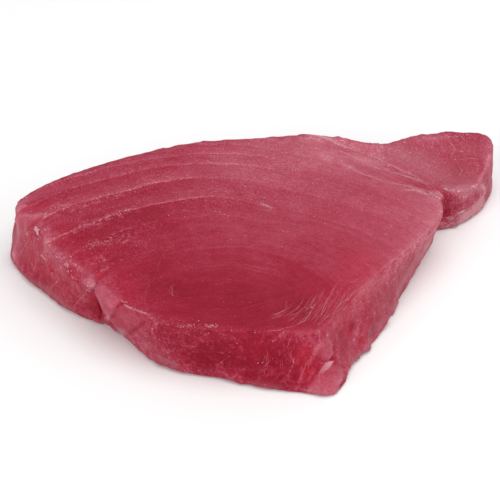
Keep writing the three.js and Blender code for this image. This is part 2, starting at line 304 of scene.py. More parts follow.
# Paler or deeper spots: place across and down in pixels, half width, change of the tone.
TONE_SPOTS = (
    (95, 286, 1.5, 0.2), (333, 359, 1.2, -0.3), (338, 375, 3.0, -0.12), (342, 379, 2.0, 0.1),
    (296, 388, 2.0, 0.1), (91, 222, 2.5, -0.08), (209, 326, 2.5, -0.08), (340, 305, 2.5, -0.08),
    (152, 334, 2.5, -0.08), (68, 275, 2.5, -0.08), (37, 282, 2.5, -0.08), (430, 205, 7.0, -0.06),
    (205, 352, 5.0, -0.06), (91, 290, 1.2, 0.12), (92, 284, 1.8, 0.14), (60, 254, 3.0, 0.1),
    (270, 336, 3.0, 0.08), (285, 360, 5.0, -0.08), (256, 160, 5.0, -0.12), (193, 165, 6.0, 0.1),
    (376, 243, 7.0, 0.12), (375, 287, 5.0, -0.1), (431, 199, 3.0, 0.13), (108, 263, 4.0, -0.2),
    (66, 229, 4.0, -0.1), (35, 283, 4.0, -0.1), (240, 347, 4.0, -0.1), (326, 385, 4.0, -0.08),
    (219, 235, 6.0, -0.08), (296, 230, 6.0, 0.1), (60, 262, 2.5, -0.1), (50, 250, 2.5, 0.1),
    # (119, 330) lightens the foot under the tongue, partly as painted light against the overhang's shade
    (40, 246, 2.0, -0.14), (119, 330, 2.0, 0.2), (440, 221, 3.0, -0.12), (469, 211, 3.0, -0.1),
    (330, 358, 2.0, 0.1), (66, 178, 3.0, -0.08), (341, 381, 2.5, 0.1), (150, 337, 4.0, -0.1),
    (300, 214, 6.0, 0.09), (485, 194, 2.5, 0.25), (71, 275, 2.0, -0.12), (324, 155, 4.0, 0.1),
    (225, 350, 4.0, -0.09), (26, 199, 2.5, 0.13), (451, 223, 2.5, 0.12), (191, 370, 3.0, 0.12),
    (98, 240, 3.0, -0.16), (60, 227, 2.5, -0.08), (62, 236, 1.6, 0.1), (105, 232, 2.5, -0.07),
    (130, 222, 3.0, 0.07), (130, 296, 3.0, -0.06), (135, 184, 4.0, -0.09), (265, 172, 4.0, -0.09),
    (448, 160, 4.0, -0.08), (127, 274, 4.0, -0.06), (423, 177, 3.0, -0.1), (440, 184, 2.5, -0.1),
    (470, 170, 5.0, 0.08), (400, 155, 5.0, 0.06), (272, 141, 2.5, 0.12), (349, 168, 3.0, 0.1),
    (304, 378, 2.5, -0.08), (426, 225, 3.0, -0.08), (375, 332, 2.5, 0.1), (242, 379, 2.5, 0.12),
    (462, 170, 4.0, -0.1), (442, 193, 2.0, -0.1), (384, 257, 5.0, 0.06), (286, 178, 4.0, -0.08),
    (63, 179, 3.0, -0.08), (231, 339, 3.0, -0.1), (345, 371, 2.0, 0.12), (350, 144, 2.5, -0.15),
    (330, 160, 3.0, 0.08), (305, 311, 4.0, -0.15), (227, 190, 4.0, 0.08), (487, 192, 1.8, 0.14),
    (299, 154, 4.0, 0.08), (350, 169, 2.5, 0.1), (312, 200, 6.0, 0.06), (187, 242, 5.0, -0.06),
    (455, 216, 1.5, -0.12), (324, 340, 1.5, -0.1), (16, 228, 2.0, 0.1), (71, 277, 1.5, -0.08),
    (225, 351, 3.0, -0.08), (486, 195, 2.0, 0.14), (442, 220, 2.0, -0.2), (316, 340, 2.0, 0.1),
    (397, 232, 4.0, 0.08), (343, 140, 2.0, 0.12), (35, 283, 2.5, -0.12), (75, 305, 2.0, -0.1),
    (65, 298, 2.0, 0.1), (20, 245, 2.0, 0.12), (22, 230, 2.5, -0.08), (320, 371, 1.5, 0.1),
    (116, 179, 3.0, 0.09), (98, 294, 1.5, -0.1), (375, 274, 3.0, 0.08), (432, 200, 2.5, 0.1),
    (263, 220, 4.0, 0.08), (366, 302, 3.0, -0.08), (424, 246, 2.5, -0.09), (317, 138, 2.0, -0.08),
    (240, 347, 3.0, -0.08), (472, 207, 2.0, -0.08), (55, 257, 2.0, -0.1), (397, 243, 3.0, 0.08),
    (489, 148, 2.0, 0.12), (363, 350, 2.0, 0.1), (148, 228, 3.0, 0.08), (127, 159, 3.0, 0.1),
    (441, 195, 1.5, -0.08), (309, 373, 2.0, -0.07), (69, 275, 1.5, -0.1), (404, 202, 4.0, -0.08),
    (454, 200, 2.0, -0.1), (488, 167, 2.0, 0.12), (273, 139, 2.0, 0.1), (471, 208, 2.0, -0.1),
    (343, 337, 2.5, -0.08), (344, 331, 2.0, -0.08), (323, 350, 2.5, 0.08), (394, 270, 3.0, -0.1),
)

# Outlines of patches with sharp edges, in pixels
TONGUE = [
    (96, 288), (104, 285), (112, 292), (121, 301), (116, 308), (112, 318), (109, 321), (106, 318),
    (103, 310), (98, 298), (94, 292),
]
FACET = [(215, 364), (222, 362), (228, 377), (217, 372)]
DOME = [
    (318, 355), (316, 347), (319, 341), (325, 338), (329, 339), (332, 345), (332, 354), (329, 359),
    (322, 360),
]
LOBE = [
    (307, 388), (313, 380), (320, 373), (326, 370), (334, 364), (340, 368), (346, 374), (346, 381),
    (332, 396), (320, 397),
]
TRIANGLE = [(335, 360), (329, 361), (321, 367), (318, 374), (323, 373), (329, 369)]
ROOT = [
    (97, 281), (102, 275), (110, 274), (116, 282), (121, 292), (122, 299), (112, 292), (104, 285),
    (96, 288),
]
BEVEL = [(117, 308), (125, 305), (150, 316), (146, 322), (130, 336), (118, 326), (113, 318)]
CHAMFER = [(17, 219), (25, 214), (42, 215), (44, 224), (36, 232), (28, 236), (17, 236)]

# Paler or deeper patches: outline, softness of its edge in pixels, change of the tone.
PATCHES = (
    (TONGUE, 1.2, 0.12), ([(88, 292), (94, 293), (103, 311), (106, 320), (98, 319), (92, 308)], 1.5, -0.2),
    (FACET, 1.5, 0.16),
    ([(117, 308), (145, 318), (150, 330), (146, 350), (132, 338), (114, 320)], 4.0, 0.06),
    (DOME, 2.2, 0.12), (LOBE, 1.5, 0.08), (TRIANGLE, 2.0, 0.1), (ROOT, 3.0, 0.08), (CHAMFER, 2.5, 0.24),
)

# Patches without rings, crumbs or mottling: outline, softness of its edge in pixels.
SMOOTH = (
    (CHAMFER, 3.0), (TONGUE, 2.0), (DOME, 2.0), (LOBE, 3.0), (BEVEL, 3.0),
)

# Raised patches: outline, softness of its edge in pixels, height.
RAISED = (
    (TONGUE, 1.6, 0.7), (FACET, 1.5, 0.4), (DOME, 2.0, 0.4), (LOBE, 3.0, 0.3), (TRIANGLE, 1.5, 0.15),
)

# Broad swellings and hollows: path in pixels, half width, height.
SWELLS = (
    ([(17, 238), (17, 243)], 2.2, -0.6), ([(15, 253)], 2.0, 0.6), ([(417, 264)], 1.6, 0.7),
    ([(412, 272)], 1.6, -0.6), ([(397, 302)], 1.6, 1.1), ([(390, 309)], 1.6, -0.6),
    ([(386, 315)], 1.4, 0.6), ([(372, 332)], 1.6, -0.6), ([(101, 320), (105, 319)], 1.6, 1.2),
    ([(358, 352), (364, 347), (371, 343)], 3.0, 1.0), ([(375, 338), (377, 330)], 3.0, -2.6),
    ([(368, 347)], 2.2, 1.5), ([(346, 371), (346, 377), (344, 383)], 4.0, -1.7),
    ([(414, 273), (411, 277), (404, 290)], 6.0, -1.9), ([(387, 316), (385, 321)], 2.0, 1.5),
    ([(429, 240)], 3.0, -0.6), ([(94, 316), (102, 318)], 2.5, 1.6), ([(95, 286)], 1.6, 1.0),
    ([(92, 298), (97, 309)], 2.0, 0.7), ([(96, 299), (98.5, 306), (100.5, 313)], 1.2, 1.7),
    ([(95, 293), (99, 302), (102, 312)], 1.5, -1.6), ([(113, 326), (118, 330)], 1.8, 1.0),
    ([(125, 334)], 2.0, -1.2), ([(20, 208), (19, 213), (19, 220)], 2.8, 1.8),
    ([(25, 197), (32, 194)], 2.5, -0.5), ([(24, 272), (32, 280)], 2.5, 0.6),
    ([(462, 216), (478, 207), (486, 198)], 3.0, -1.3), ([(444, 226), (452, 224)], 2.5, 0.6),
    ([(484, 139), (487, 144)], 3.0, 0.7), ([(254, 384), (266, 386)], 3.0, 0.6),
    ([(272, 386), (288, 389)], 2.5, 0.6), ([(302, 389)], 2.0, -0.6), ([(210, 373), (222, 375)], 3.0, -0.6),
    ([(322, 392), (331, 392)], 2.5, 0.9), ([(50, 185), (75, 176)], 3.0, 0.5),
    ([(180, 148), (200, 145)], 3.0, 0.4), ([(254, 141), (276, 140)], 2.5, 0.4),
    ([(312, 138), (340, 141)], 2.5, 0.8), ([(396, 144), (412, 140)], 2.5, 0.8),
)

# Greyer places: path in pixels, half width, strength.
DULL = (
    ([(400, 152), (430, 168), (470, 182)], 9.0, 0.25), ([(450, 160), (480, 150)], 12.0, 0.1),
    ([(466, 202), (485, 190)], 7.0, 0.15), ([(446, 186), (462, 187), (482, 186)], 3.0, 0.3),
    ([(455, 222), (474, 212), (486, 200)], 3.0, 0.4), ([(420, 255), (400, 285), (385, 305)], 8.0, 0.12),
    # From here on the rows grey the feet and lower edges with painted light bounced up from the floor; (116,
    # 329) also lightens the foot under the tongue against the overhang's shade
    ([(150, 350), (165, 362)], 5.0, 0.12), ([(116, 329), (122, 333)], 1.6, 0.7),
    ([(160, 358), (174, 365)], 2.0, 0.4), ([(255, 383), (280, 388)], 1.4, 0.2),
    ([(31, 281), (47, 290), (69, 307)], 2.0, 0.35), ([(385, 318), (368, 346), (352, 360)], 2.0, 0.35),
    ([(428, 245), (413, 274), (397, 302), (386, 318)], 2.5, 0.35), (LEFT_EDGE, 2.0, 0.15),
)

# Redder places: path in pixels, half width, strength.
VIVID = (
    ([(58, 226), (66, 236), (80, 250), (95, 262)], 6.0, 0.25), ([(30, 208), (45, 207)], 3.0, 0.4),
    ([(97, 238), (106, 246)], 4.0, 0.2), ([(40, 240), (42, 249)], 2.2, 0.35),
    ([(24, 238), (40, 264), (60, 286)], 9.0, 0.25), ([(122, 272), (130, 300)], 6.0, 0.3),
    ([(349, 331)], 2.5, 0.6), ([(361, 340)], 2.5, 0.6), ([(340, 322), (347, 317)], 2.0, 0.5),
    ([(333, 359)], 1.0, 0.8), (SEAM_GROOVE, 1.4, 0.2), ([(360, 262), (350, 290), (335, 300)], 9.0, 0.4),
    ([(302, 354), (308, 372)], 5.0, 0.6), ([(245, 345), (258, 348)], 5.0, 0.3),
    ([(26, 236), (48, 262), (66, 276)], 5.0, 0.25), ([(88, 294), (103, 313)], 3.0, 0.25),
    ([(93, 292), (97, 301), (101, 313)], 1.4, 0.5), ([(71, 270), (79, 284)], 1.6, 0.8),
    ([(52, 271)], 1.2, 0.9), ([(98, 277), (103, 274)], 1.4, 0.8),
)

# White films with ragged edges: path in pixels, half width, strength. Along the front rim they also paint
# the wet rim's highlight.
WHITE = (
    ([(36, 227), (38, 233)], 1.6, 0.5), ([(28, 234)], 0.8, 0.8), ([(45, 214)], 0.9, 0.9),
    ([(19, 209), (25, 208)], 0.8, 0.6), (LEFT_RIM_LINE, 0.9, 0.5), ([(40, 255), (45, 259)], 1.0, 0.8),
    ([(45, 252), (52, 258)], 1.6, 0.4), ([(66, 264), (68, 266)], 1.2, 0.9),
    ([(89, 280), (93, 286)], 1.8, 0.5), ([(262, 203), (271, 208)], 1.8, 0.7),
    ([(265, 205), (269, 206)], 0.8, 1.0), ([(281, 230), (287, 232)], 1.0, 0.7),
    # These rows along the front rim stand partly for white crumbs and partly for the wet rim's glint, a
    # painted highlight
    ([(124, 305), (137, 310), (150, 315)], 0.9, 0.8), ([(150, 315), (165, 319)], 1.0, 0.55),
    ([(154, 321), (172, 326)], 1.2, 0.55), ([(172, 326), (190, 326)], 1.6, 0.6),
    ([(206, 326), (217, 326)], 1.4, 0.75), ([(215, 327), (240, 330), (262, 331)], 1.2, 0.45),
    ([(380, 179), (395, 183), (410, 187)], 0.9, 0.65), (SEAM_LIP, 1.5, 0.8),
    ([(441, 196), (443, 206), (441, 214), (432, 225)], 1.0, 0.2),
    ([(340, 151), (362, 161), (383, 168)], 0.8, 0.7), ([(311, 136), (325, 139), (345, 147)], 1.3, 0.95),
    ([(345, 147), (363, 153)], 0.9, 0.75), ([(369, 155), (401, 170), (430, 187)], 0.8, 0.55),
    ([(342, 165), (365, 175), (380, 181)], 0.8, 0.65), ([(320, 156), (331, 161)], 1.0, 0.6),
    ([(436, 221), (416, 241), (396, 258)], 0.7, 0.6), ([(396, 258), (370, 282)], 1.0, 0.4),
    ([(444, 189), (454, 192), (460, 191)], 1.4, 0.7), ([(460, 191), (476, 189)], 1.8, 0.6),
    ([(477, 186), (485, 189)], 2.2, 0.8), ([(447, 218), (452, 217)], 1.0, 0.9),
    ([(458, 213), (465, 211)], 1.1, 0.9),
)

# Clumps of pale flesh along the rings: path in pixels, half width, strength.
CLUMPS = (
    ([(54, 216), (73, 209), (90, 203), (125, 194)], 1.4, 0.9), ([(56, 206), (75, 206)], 2.2, 0.8),
    ([(66, 234), (84, 227), (94, 226), (109, 219), (120, 214), (133, 210)], 2.4, 0.85),
    ([(84, 249), (94, 244), (106, 244), (124, 240), (134, 233)], 2.4, 0.9),
    ([(94, 262), (102, 258), (110, 264), (104, 269)], 2.0, 1.1),
    ([(45, 232), (47, 240), (55, 253), (67, 261), (81, 270)], 2.2, 0.5),
)

# Pale strands lying on the flesh: path in pixels and width.
STRANDS = (
    ([(335, 149), (350, 155), (362, 161), (380, 169), (388, 171)], 0.8),
    ([(374, 166), (394, 173), (405, 176), (418, 180), (429, 186)], 0.8),
    ([(311, 136), (325, 139), (340, 144), (363, 153)], 0.8),
    ([(366, 154), (380, 160), (401, 170), (408, 173)], 0.8),
    ([(392, 166), (401, 170), (415, 176), (429, 186)], 0.7), ([(262, 139), (300, 148), (325, 158)], 0.25),
    ([(339, 164), (352, 169), (365, 175), (374, 178)], 0.8), ([(316, 154), (324, 158), (332, 162)], 0.6),
    ([(385, 181), (410, 187), (428, 192), (439, 193)], 0.5), (LEFT_RIM_LINE, 0.3),
    ([(124, 305), (134, 310), (148, 315)], 0.4), ([(119, 298), (123, 302), (129, 302)], 0.55),
    ([(60, 278), (53, 286), (47, 294)], 0.4),
    ([(88, 290), (83, 296), (78, 301), (74, 306), (69, 312)], 0.45),
    ([(40, 257), (36, 263), (32, 273)], 0.28), ([(30, 238), (24, 247), (19, 258)], 0.3),
    ([(21, 262), (19, 254), (24, 246)], 0.3),
    ([(262, 331), (276, 330), (293, 326), (303, 321), (310, 313), (317, 301)], 0.3),
    ([(271, 316), (279, 313), (286, 309)], 0.32), ([(287, 318), (298, 312), (308, 305)], 0.32),
    ([(313, 324), (321, 314), (326, 301), (333, 289), (341, 278)], 0.32),
    ([(318, 326), (333, 311), (350, 295)], 0.3), ([(340, 278), (352, 282), (362, 277)], 0.2),
    ([(358, 326), (357, 334), (354, 339)], 0.3), ([(329, 339), (332, 345), (332, 354), (329, 359)], 0.45),
    ([(313, 352), (311, 358), (307, 362), (304, 369), (301, 376), (297, 386)], 0.24),
    ([(319, 332), (319, 342), (318.5, 350), (314, 356)], 0.24),
    ([(316, 365), (313, 372), (309, 380), (307, 386)], 0.22), ([(293, 334), (289, 342), (286, 350)], 0.18),
    ([(288, 347), (290.5, 357), (294, 362), (291, 368), (288.5, 373), (288, 382)], 0.2),
    ([(268, 357), (269, 362), (265, 367), (265, 377)], 0.18),
    ([(328, 340), (331.5, 346.5), (331, 354), (328, 359.5)], 0.26),
    ([(320, 373), (319.4, 377), (319, 382)], 0.3), (FRONT_RIB, 0.14), (DOME_RIB, 0.16),
    ([(436, 221), (425, 232), (416, 241)], 0.5), ([(418, 239), (408, 248), (396, 258)], 0.4),
    ([(398, 256), (383, 267)], 0.3), ([(366, 286), (351, 302), (336, 318)], 0.25),
    ([(150, 354), (158, 355), (168, 354)], 0.25), ([(183, 346), (196, 347)], 0.25),
    ([(426, 138), (429, 144), (434, 150)], 0.5), ([(431, 139), (433, 143), (431, 150)], 0.28),
    ([(435, 137), (437, 141), (440, 145)], 0.6),
    ([(444, 137), (452, 145), (455, 149), (452, 155), (452, 160)], 0.42),
    ([(237, 181), (243, 185), (248, 188)], 0.3), ([(240, 182), (246, 187)], 0.25),
    ([(443, 139), (441, 146), (444, 154)], 0.3), ([(455, 138), (458, 141)], 0.4),
    ([(462, 136), (463, 138), (465, 141)], 0.4), ([(467, 138), (466, 142), (470, 148), (468, 156)], 0.3),
    ([(474, 138), (476, 144), (474, 152), (477, 160)], 0.26), ([(455, 149), (462, 152)], 0.26),
    ([(466, 150), (478, 153)], 0.28), ([(440, 146), (452, 150), (462, 154), (474, 155)], 0.26),
    ([(455, 160), (470, 158), (485, 160)], 0.3), ([(468, 162), (480, 166)], 0.25),
    ([(441, 150), (436, 158)], 0.25), ([(420, 140), (424, 147), (423, 155)], 0.28),
    ([(448, 140), (455, 149)], 0.25), ([(444, 189), (452, 191), (460, 191)], 0.6),
    ([(462, 190), (470, 189), (478, 187)], 0.5), ([(458, 164), (462, 170), (460, 178)], 0.26),
    ([(479, 181), (485, 170), (488, 158)], 0.3),
)

# Fine strands side by side at the near corner: lines between which they lie, how many lie from each line to
# the next, how far their points sway in pixels, their widths and paleness.
FEATHER_LINES = (
    [(262, 317), (276, 314), (287, 307), (294, 297)], [(280, 323), (294, 316), (304, 308), (312, 296)],
    [(296, 324), (307, 314), (315, 303), (321, 290)], [(306, 327), (317, 314), (326, 300), (334, 284)],
    [(316, 328), (328, 313), (338, 297), (348, 280)], [(324, 328), (336, 314), (348, 298), (362, 281)],
    [(334, 319), (347, 304), (360, 289), (374, 274)],
)
FEATHER_COUNTS = (9, 14, 16, 16, 16, 14)
FEATHER_SWAY = 0.45
FEATHER_WIDTHS = (0.06, 0.22)
FEATHER_PALENESS = (0.1, 0.55)

# Faint broken arcs round the eye: line in pixels, how many strands lie along it, and the greatest paleness.
# Then how far they spread in pixels, and their widths.
ARCS = (
    ([(175, 283), (171, 287), (171, 293), (176, 298)], 10, 0.55),
    ([(150, 284), (146, 291), (145, 300), (148, 309)], 9, 0.3),
    ([(170, 256), (161, 260), (157, 268), (160, 274)], 4, 0.06),
    ([(216, 261), (236, 264), (253, 267), (270, 270)], 10, 0.18),
    ([(268, 269), (281, 276), (287, 288), (288, 300)], 5, 0.05),
    ([(288, 299), (286, 309), (279, 315), (270, 319)], 10, 0.3),
    ([(290, 261), (303, 264), (313, 268), (318, 277)], 5, 0.05),
    ([(318, 277), (319, 288), (316, 297), (311, 305)], 5, 0.1),
    ([(205, 282), (214, 284), (223, 284), (231, 283)], 6, 0.16),
)
ARC_SPREAD = 0.8
ARC_WIDTHS = (0.1, 0.2)

# Short dashes of pale tissue: path in pixels along which they lie, how far they spread, how many, longest.
# Then their shortest length, widths, paleness, and how far they turn from the path in radians.
DASHES = (
    ([(155, 330), (190, 342), (250, 350)], 8.0, 30, 2.2),
    ([(150, 345), (180, 358), (215, 366)], 5.0, 20, 2.2),
    ([(270, 336), (266, 356), (264, 378)], 4.0, 4, 3.0),
    ([(290, 336), (284, 358), (281, 382)], 4.0, 7, 4.0),
    ([(304, 336), (296, 360), (292, 384)], 4.0, 7, 4.0),
    ([(314, 334), (308, 356), (302, 380)], 3.0, 7, 4.0), ([(252, 184), (269, 187)], 2.0, 12, 2.2),
    ([(256, 203), (262, 206)], 1.2, 6, 2.2), ([(264, 211), (272, 212)], 0.8, 5, 2.2),
    ([(48, 214), (125, 193)], 3.0, 24, 2.2), ([(66, 234), (133, 208)], 3.0, 26, 2.2),
    ([(84, 248), (134, 232)], 3.0, 26, 2.2), ([(150, 175), (260, 160), (330, 178)], 10.0, 50, 2.2),
    ([(180, 200), (300, 205)], 10.0, 30, 2.2), ([(345, 170), (400, 186)], 4.0, 30, 2.2),
    ([(30, 245), (60, 275)], 6.0, 20, 2.2), ([(420, 150), (475, 150)], 8.0, 40, 2.2),
    ([(350, 300), (330, 330), (325, 350)], 4.0, 24, 2.2),
)
DASH_SHORTEST = 0.6
DASH_WIDTHS = (0.12, 0.26)
DASH_PALENESS = (0.0, 0.4)
DASH_STRAY = 0.35

# Flat scraps of pale tissue with sharp edges: outline in pixels, and paleness at its first corner and
# farthest from it.
FLAKES = (
    ([(334, 361), (330, 361), (326, 363), (323, 366), (320, 370), (318, 376), (322, 373), (327, 370),
      (331, 366)], 0.8, 0.15),
    ([(35, 226), (37, 227), (38, 229), (40, 229), (38, 232), (39, 235), (37, 235), (36, 232),
      (34, 230)], 0.85, 0.75),
    ([(44, 217), (44, 214), (46, 212), (47, 213), (45, 216)], 0.5, 0.5),
    ([(26, 234), (28, 232), (29, 233), (28, 236), (27, 235)], 0.4, 0.4),
    ([(40, 255), (43, 254), (44, 256), (46, 259), (45, 260), (43, 257), (41, 256)], 0.3, 0.6),
    ([(64, 266), (65, 263), (68, 263), (69, 266), (68, 268), (67, 267), (67, 265), (66, 265)], 0.45, 0.45),
    ([(485, 188), (484, 191), (480, 189), (477, 186), (479, 183), (483, 184)], 0.65, 0.3),
    ([(106, 316), (109, 314), (111, 317), (109, 320), (107, 319)], 0.4, 0.3),
    ([(123, 304), (127, 305.5), (130.5, 308), (134, 310.5), (130, 308.8), (126.5, 306.5)], 0.7, 0.7),
    ([(444, 189), (446, 188), (448, 190), (446, 190)], 0.9, 0.8),
    ([(457, 191), (459, 190), (460, 191), (458, 193)], 0.9, 0.8),
    ([(452, 190), (453, 189), (455, 190), (453, 191)], 0.7, 0.7),
    ([(471, 187), (473, 185), (476, 186), (474, 188)], 0.8, 0.7),
    ([(460, 212), (463, 210), (464, 211), (461, 213)], 0.9, 0.8),
)

# Steps of a scrap from its foot to its middle: share of its outline, and height over the surface.
FLAKE_STEPS = ((1.0, -0.25), (1.0, 0.1), (0.8, 0.22), (0.5, 0.26), (0.25, 0.28))

# Bright specks: their centres in pixels, the corners round a centre, and their paleness.
SPECKS = (
    (38, 239), (45, 230), (52, 273), (66, 264), (68, 266), (60, 257), (62, 259), (71, 257), (85, 280),
    (87, 290), (57, 282), (461, 151.5), (462.5, 151.7), (258, 363), (262.5, 362.5), (293.5, 361.5),
    (273, 341),
)
SPECK_CORNERS = ((-0.8, 0.1), (0, -0.7), (0.8, 0), (0.1, 0.7))
SPECK_PALENESS = 0.7

# Crumbs of pale tissue: path in pixels, how far they spread, how many, and largest size. Then the steps of
# their paths.
CRUMBS = (
    ([(124, 305), (150, 315)], 0.6, 30, 0.6), ([(150, 315), (180, 320), (196, 323)], 1.4, 26, 0.45),
    ([(153, 321), (172, 326), (188, 327), (198, 325)], 1.6, 36, 0.6),
    ([(196, 325), (215, 326), (235, 329)], 1.8, 26, 0.6), ([(235, 329), (262, 331)], 1.2, 8, 0.3),
    ([(45, 252), (66, 266), (78, 280)], 2.5, 70, 0.7), ([(38, 232), (46, 246), (52, 254)], 2.5, 40, 0.6),
    ([(20, 232), (45, 258)], 3.0, 30, 0.45), ([(30, 250), (64, 280)], 4.0, 40, 0.4),
    ([(90, 284)], 2.0, 14, 0.6), ([(52, 274)], 0.5, 5, 0.5), ([(60, 254), (70, 262)], 1.6, 26, 0.55),
    ([(106, 318), (114, 322)], 1.5, 16, 0.6), ([(446, 191), (462, 190), (484, 187)], 1.3, 150, 0.75),
    ([(410, 150), (475, 155)], 14.0, 110, 0.3), ([(447, 220), (466, 211)], 1.2, 36, 0.6),
    ([(400, 185), (420, 189), (440, 194)], 1.2, 90, 0.6), ([(72, 276), (80, 284), (86, 291)], 1.0, 26, 0.5),
    ([(84, 248), (94, 244), (106, 243), (124, 238)], 2.6, 130, 0.5),
    ([(66, 233), (84, 227), (100, 221), (125, 212)], 2.6, 110, 0.48),
    ([(50, 215), (90, 203), (125, 193), (160, 184)], 1.4, 60, 0.4),
    ([(440, 193), (442, 203), (440, 212), (432, 222)], 1.0, 24, 0.45),
    ([(262, 203), (272, 209)], 1.6, 40, 0.6), ([(264, 205), (269, 206)], 0.8, 12, 0.8),
    ([(243, 185), (246, 187)], 0.5, 8, 0.5), ([(227, 190), (230, 194)], 1.0, 12, 0.45),
    ([(147, 185)], 1.0, 8, 0.6), ([(179, 199)], 0.5, 5, 0.6), ([(183, 210)], 0.8, 6, 0.6),
    ([(215, 212), (222, 212)], 0.6, 8, 0.45), ([(207, 174)], 0.5, 4, 0.5), ([(208, 161)], 0.5, 4, 0.55),
    ([(239, 142)], 0.8, 8, 0.6), ([(267, 164)], 0.5, 4, 0.5), ([(284, 188)], 0.8, 5, 0.5),
    ([(434, 224), (416, 241), (398, 256)], 0.5, 30, 0.4),
    ([(284, 316), (315, 306), (345, 290)], 7.0, 70, 0.32), ([(312, 308), (315, 305)], 0.6, 8, 0.6),
    ([(320, 306), (340, 291), (362, 276)], 7.0, 60, 0.32),
    ([(318, 330), (334, 318), (352, 300)], 3.0, 30, 0.4),
    ([(330, 175), (355, 181), (385, 190)], 6.0, 110, 0.34),
    ([(405, 142), (430, 138), (455, 136), (470, 134), (485, 138)], 0.8, 50, 0.6),
    ([(165, 340), (250, 350)], 7.0, 50, 0.3), ([(280, 345), (300, 360)], 6.0, 16, 0.3),
    ([(322, 378), (333, 380)], 5.0, 30, 0.3), ([(95, 262), (108, 268)], 3.0, 24, 0.4),
    ([(110, 212), (140, 203)], 3.0, 30, 0.4), ([(84, 224), (100, 219), (118, 211)], 3.5, 70, 0.5),
    ([(86, 246), (104, 241), (122, 235)], 3.5, 50, 0.45), ([(60, 205), (120, 188)], 4.0, 40, 0.36),
    ([(60, 184), (150, 155), (262, 140), (330, 141), (380, 150), (430, 139), (480, 136)], 1.0, 110, 0.5),
)
CRUMB_STEP = 0.4

# Crumbs strewn along the rings, and over the whole surface: how many and largest size.
RING_CRUMBS = (900, 0.4)
LOOSE_CRUMBS = (500, 0.3)

# Hairs of pale tissue all over: how many, their lengths, widths, how far they stray and bend, in radians,
# the steps of their paths, and how level the surface is where they follow the rings.
HAIR_COUNT = 220
HAIR_LENGTHS = (1.5, 6.0)
HAIR_WIDTHS = (0.08, 0.16)
HAIR_STRAY = 0.6
HAIR_BEND = 0.04
HAIR_STEP = 0.5
HAIR_LEVEL_TILT = 0.6

# Runs of the lines of four points: latest begin, lengths, both in points, and how many points a run gets.
RUN_LAST_BEGIN = 2.2
RUN_LENGTHS = (0.5, 1.6)
RUN_STOPS = 6

# Paleness, from 0 to 1: of the strands, least and for each millimetre of width, of the hairs, and of the
# crumbs.
STRAND_PALENESS = (0.4, 0.3)
HAIR_PALENESS = (0.1, 0.4)
CRUMB_PALENESS = (0.15, 0.8)

# Form of a strand: sides, sway at each step, steps to a run, taper, usual fullness and how far it breaks,
# limits of that, unevenness, least thickness and flatness.
STRAND_SIDES = 5
STRAND_SWAY = 0.06
STRAND_RUN = 5.0
STRAND_TAPER = 4
STRAND_FULLNESS = 0.8
STRAND_BREAKS = 0.7
STRAND_LIMITS = (0.25, 1.1)
STRAND_UNEVENNESS = (0.7, 1.15)
STRAND_LEAST = 0.02
STRAND_FLATNESS = 0.6

# Form of a crumb: rows and sides, least share of its largest size, spread and power of that, lengths and
# height for its width, and unevenness.
CRUMB_ROWS = 3
CRUMB_SIDES = 6
CRUMB_SIZES = (0.3, 0.9, 2.5)
CRUMB_LENGTHS = (1.0, 2.4)
CRUMB_HEIGHT = 0.45
CRUMB_UNEVENNESS = (0.6, 1.2)

# Seeds of the random draws
FEATHER_SEED = 3
HAIR_SEED = 5
STRAND_SEED = 7
CRUMB_PLACE_SEED = 11
CRUMB_SHAPE_SEED = 13
DASH_SEED = 17

# Numbers that scramble a place into a random share: shifts and factors, bits kept, and a prime for each axis
# and for the seed. The last is the least squared length that is divided by.
SCRAMBLE_STEPS = ((30, 0xBF58476D1CE4E5B9), (27, 0x94D049BB133111EB))
SCRAMBLE_LAST_SHIFT = 31
SHARE_BITS = 24
PLACE_PRIMES = (73856093, 19349663, 83492791)
SEED_PRIME = 2654435761
TINY = 1e-9


# Camera

def camera_axes():
    """Eye point and the view, right and up directions of the camera."""
    level_view = Vector((0, math.cos(CAMERA_RISE), -math.sin(CAMERA_RISE)))
    level_up = Vector((0, math.sin(CAMERA_RISE), math.cos(CAMERA_RISE)))
    eye = CAMERA_TARGET - level_view * CAMERA_DISTANCE
    aside = (FRAME_MIDDLE - TARGET_PIXEL[0]) / PIXELS_PER_MM
    above = (TARGET_PIXEL[1] - FRAME_MIDDLE) / PIXELS_PER_MM
    view = CAMERA_TARGET + Vector((aside, 0, 0)) + level_up * above - eye
    view.normalize()
    right = view.cross(Vector((0, 0, 1))).normalized()
    return eye, view, right, right.cross(view)


EYE, VIEW, RIGHT, UP = camera_axes()
FOCAL_PIXELS = PIXELS_PER_MM * CAMERA_DISTANCE


def add_camera():
    data = bpy.data.cameras.new("camera")
    data.sensor_width = SENSOR_WIDTH
    data.lens = FOCAL_PIXELS / FRAME_PIXELS * SENSOR_WIDTH
    data.clip_start, data.clip_end = CAMERA_CLIP_METRES
    camera = bpy.data.objects.new("camera", data)
    turn = Matrix((RIGHT, UP, -VIEW)).transposed().to_4x4()
    camera.matrix_world = Matrix.Translation(EYE / METRE) @ turn
    bpy.context.scene.collection.objects.link(camera)
    bpy.context.scene.camera = camera


def pixel_ray(pixel):
    """Direction in which the camera sees a pixel of the photograph."""
    aside = (pixel[0] - FRAME_MIDDLE) / FOCAL_PIXELS
    above = (FRAME_MIDDLE - pixel[1]) / FOCAL_PIXELS
    return (VIEW + RIGHT * aside + UP * above).normalized()


def seen_at(points):
    """Pixels of the photograph at which points are seen."""
    away = points - np.array(EYE)
    depth = away @ np.array(VIEW)
    across = FRAME_MIDDLE + away @ np.array(RIGHT) / depth * FOCAL_PIXELS
    down = FRAME_MIDDLE - away @ np.array(UP) / depth * FOCAL_PIXELS
    return np.stack([across, down], 1)


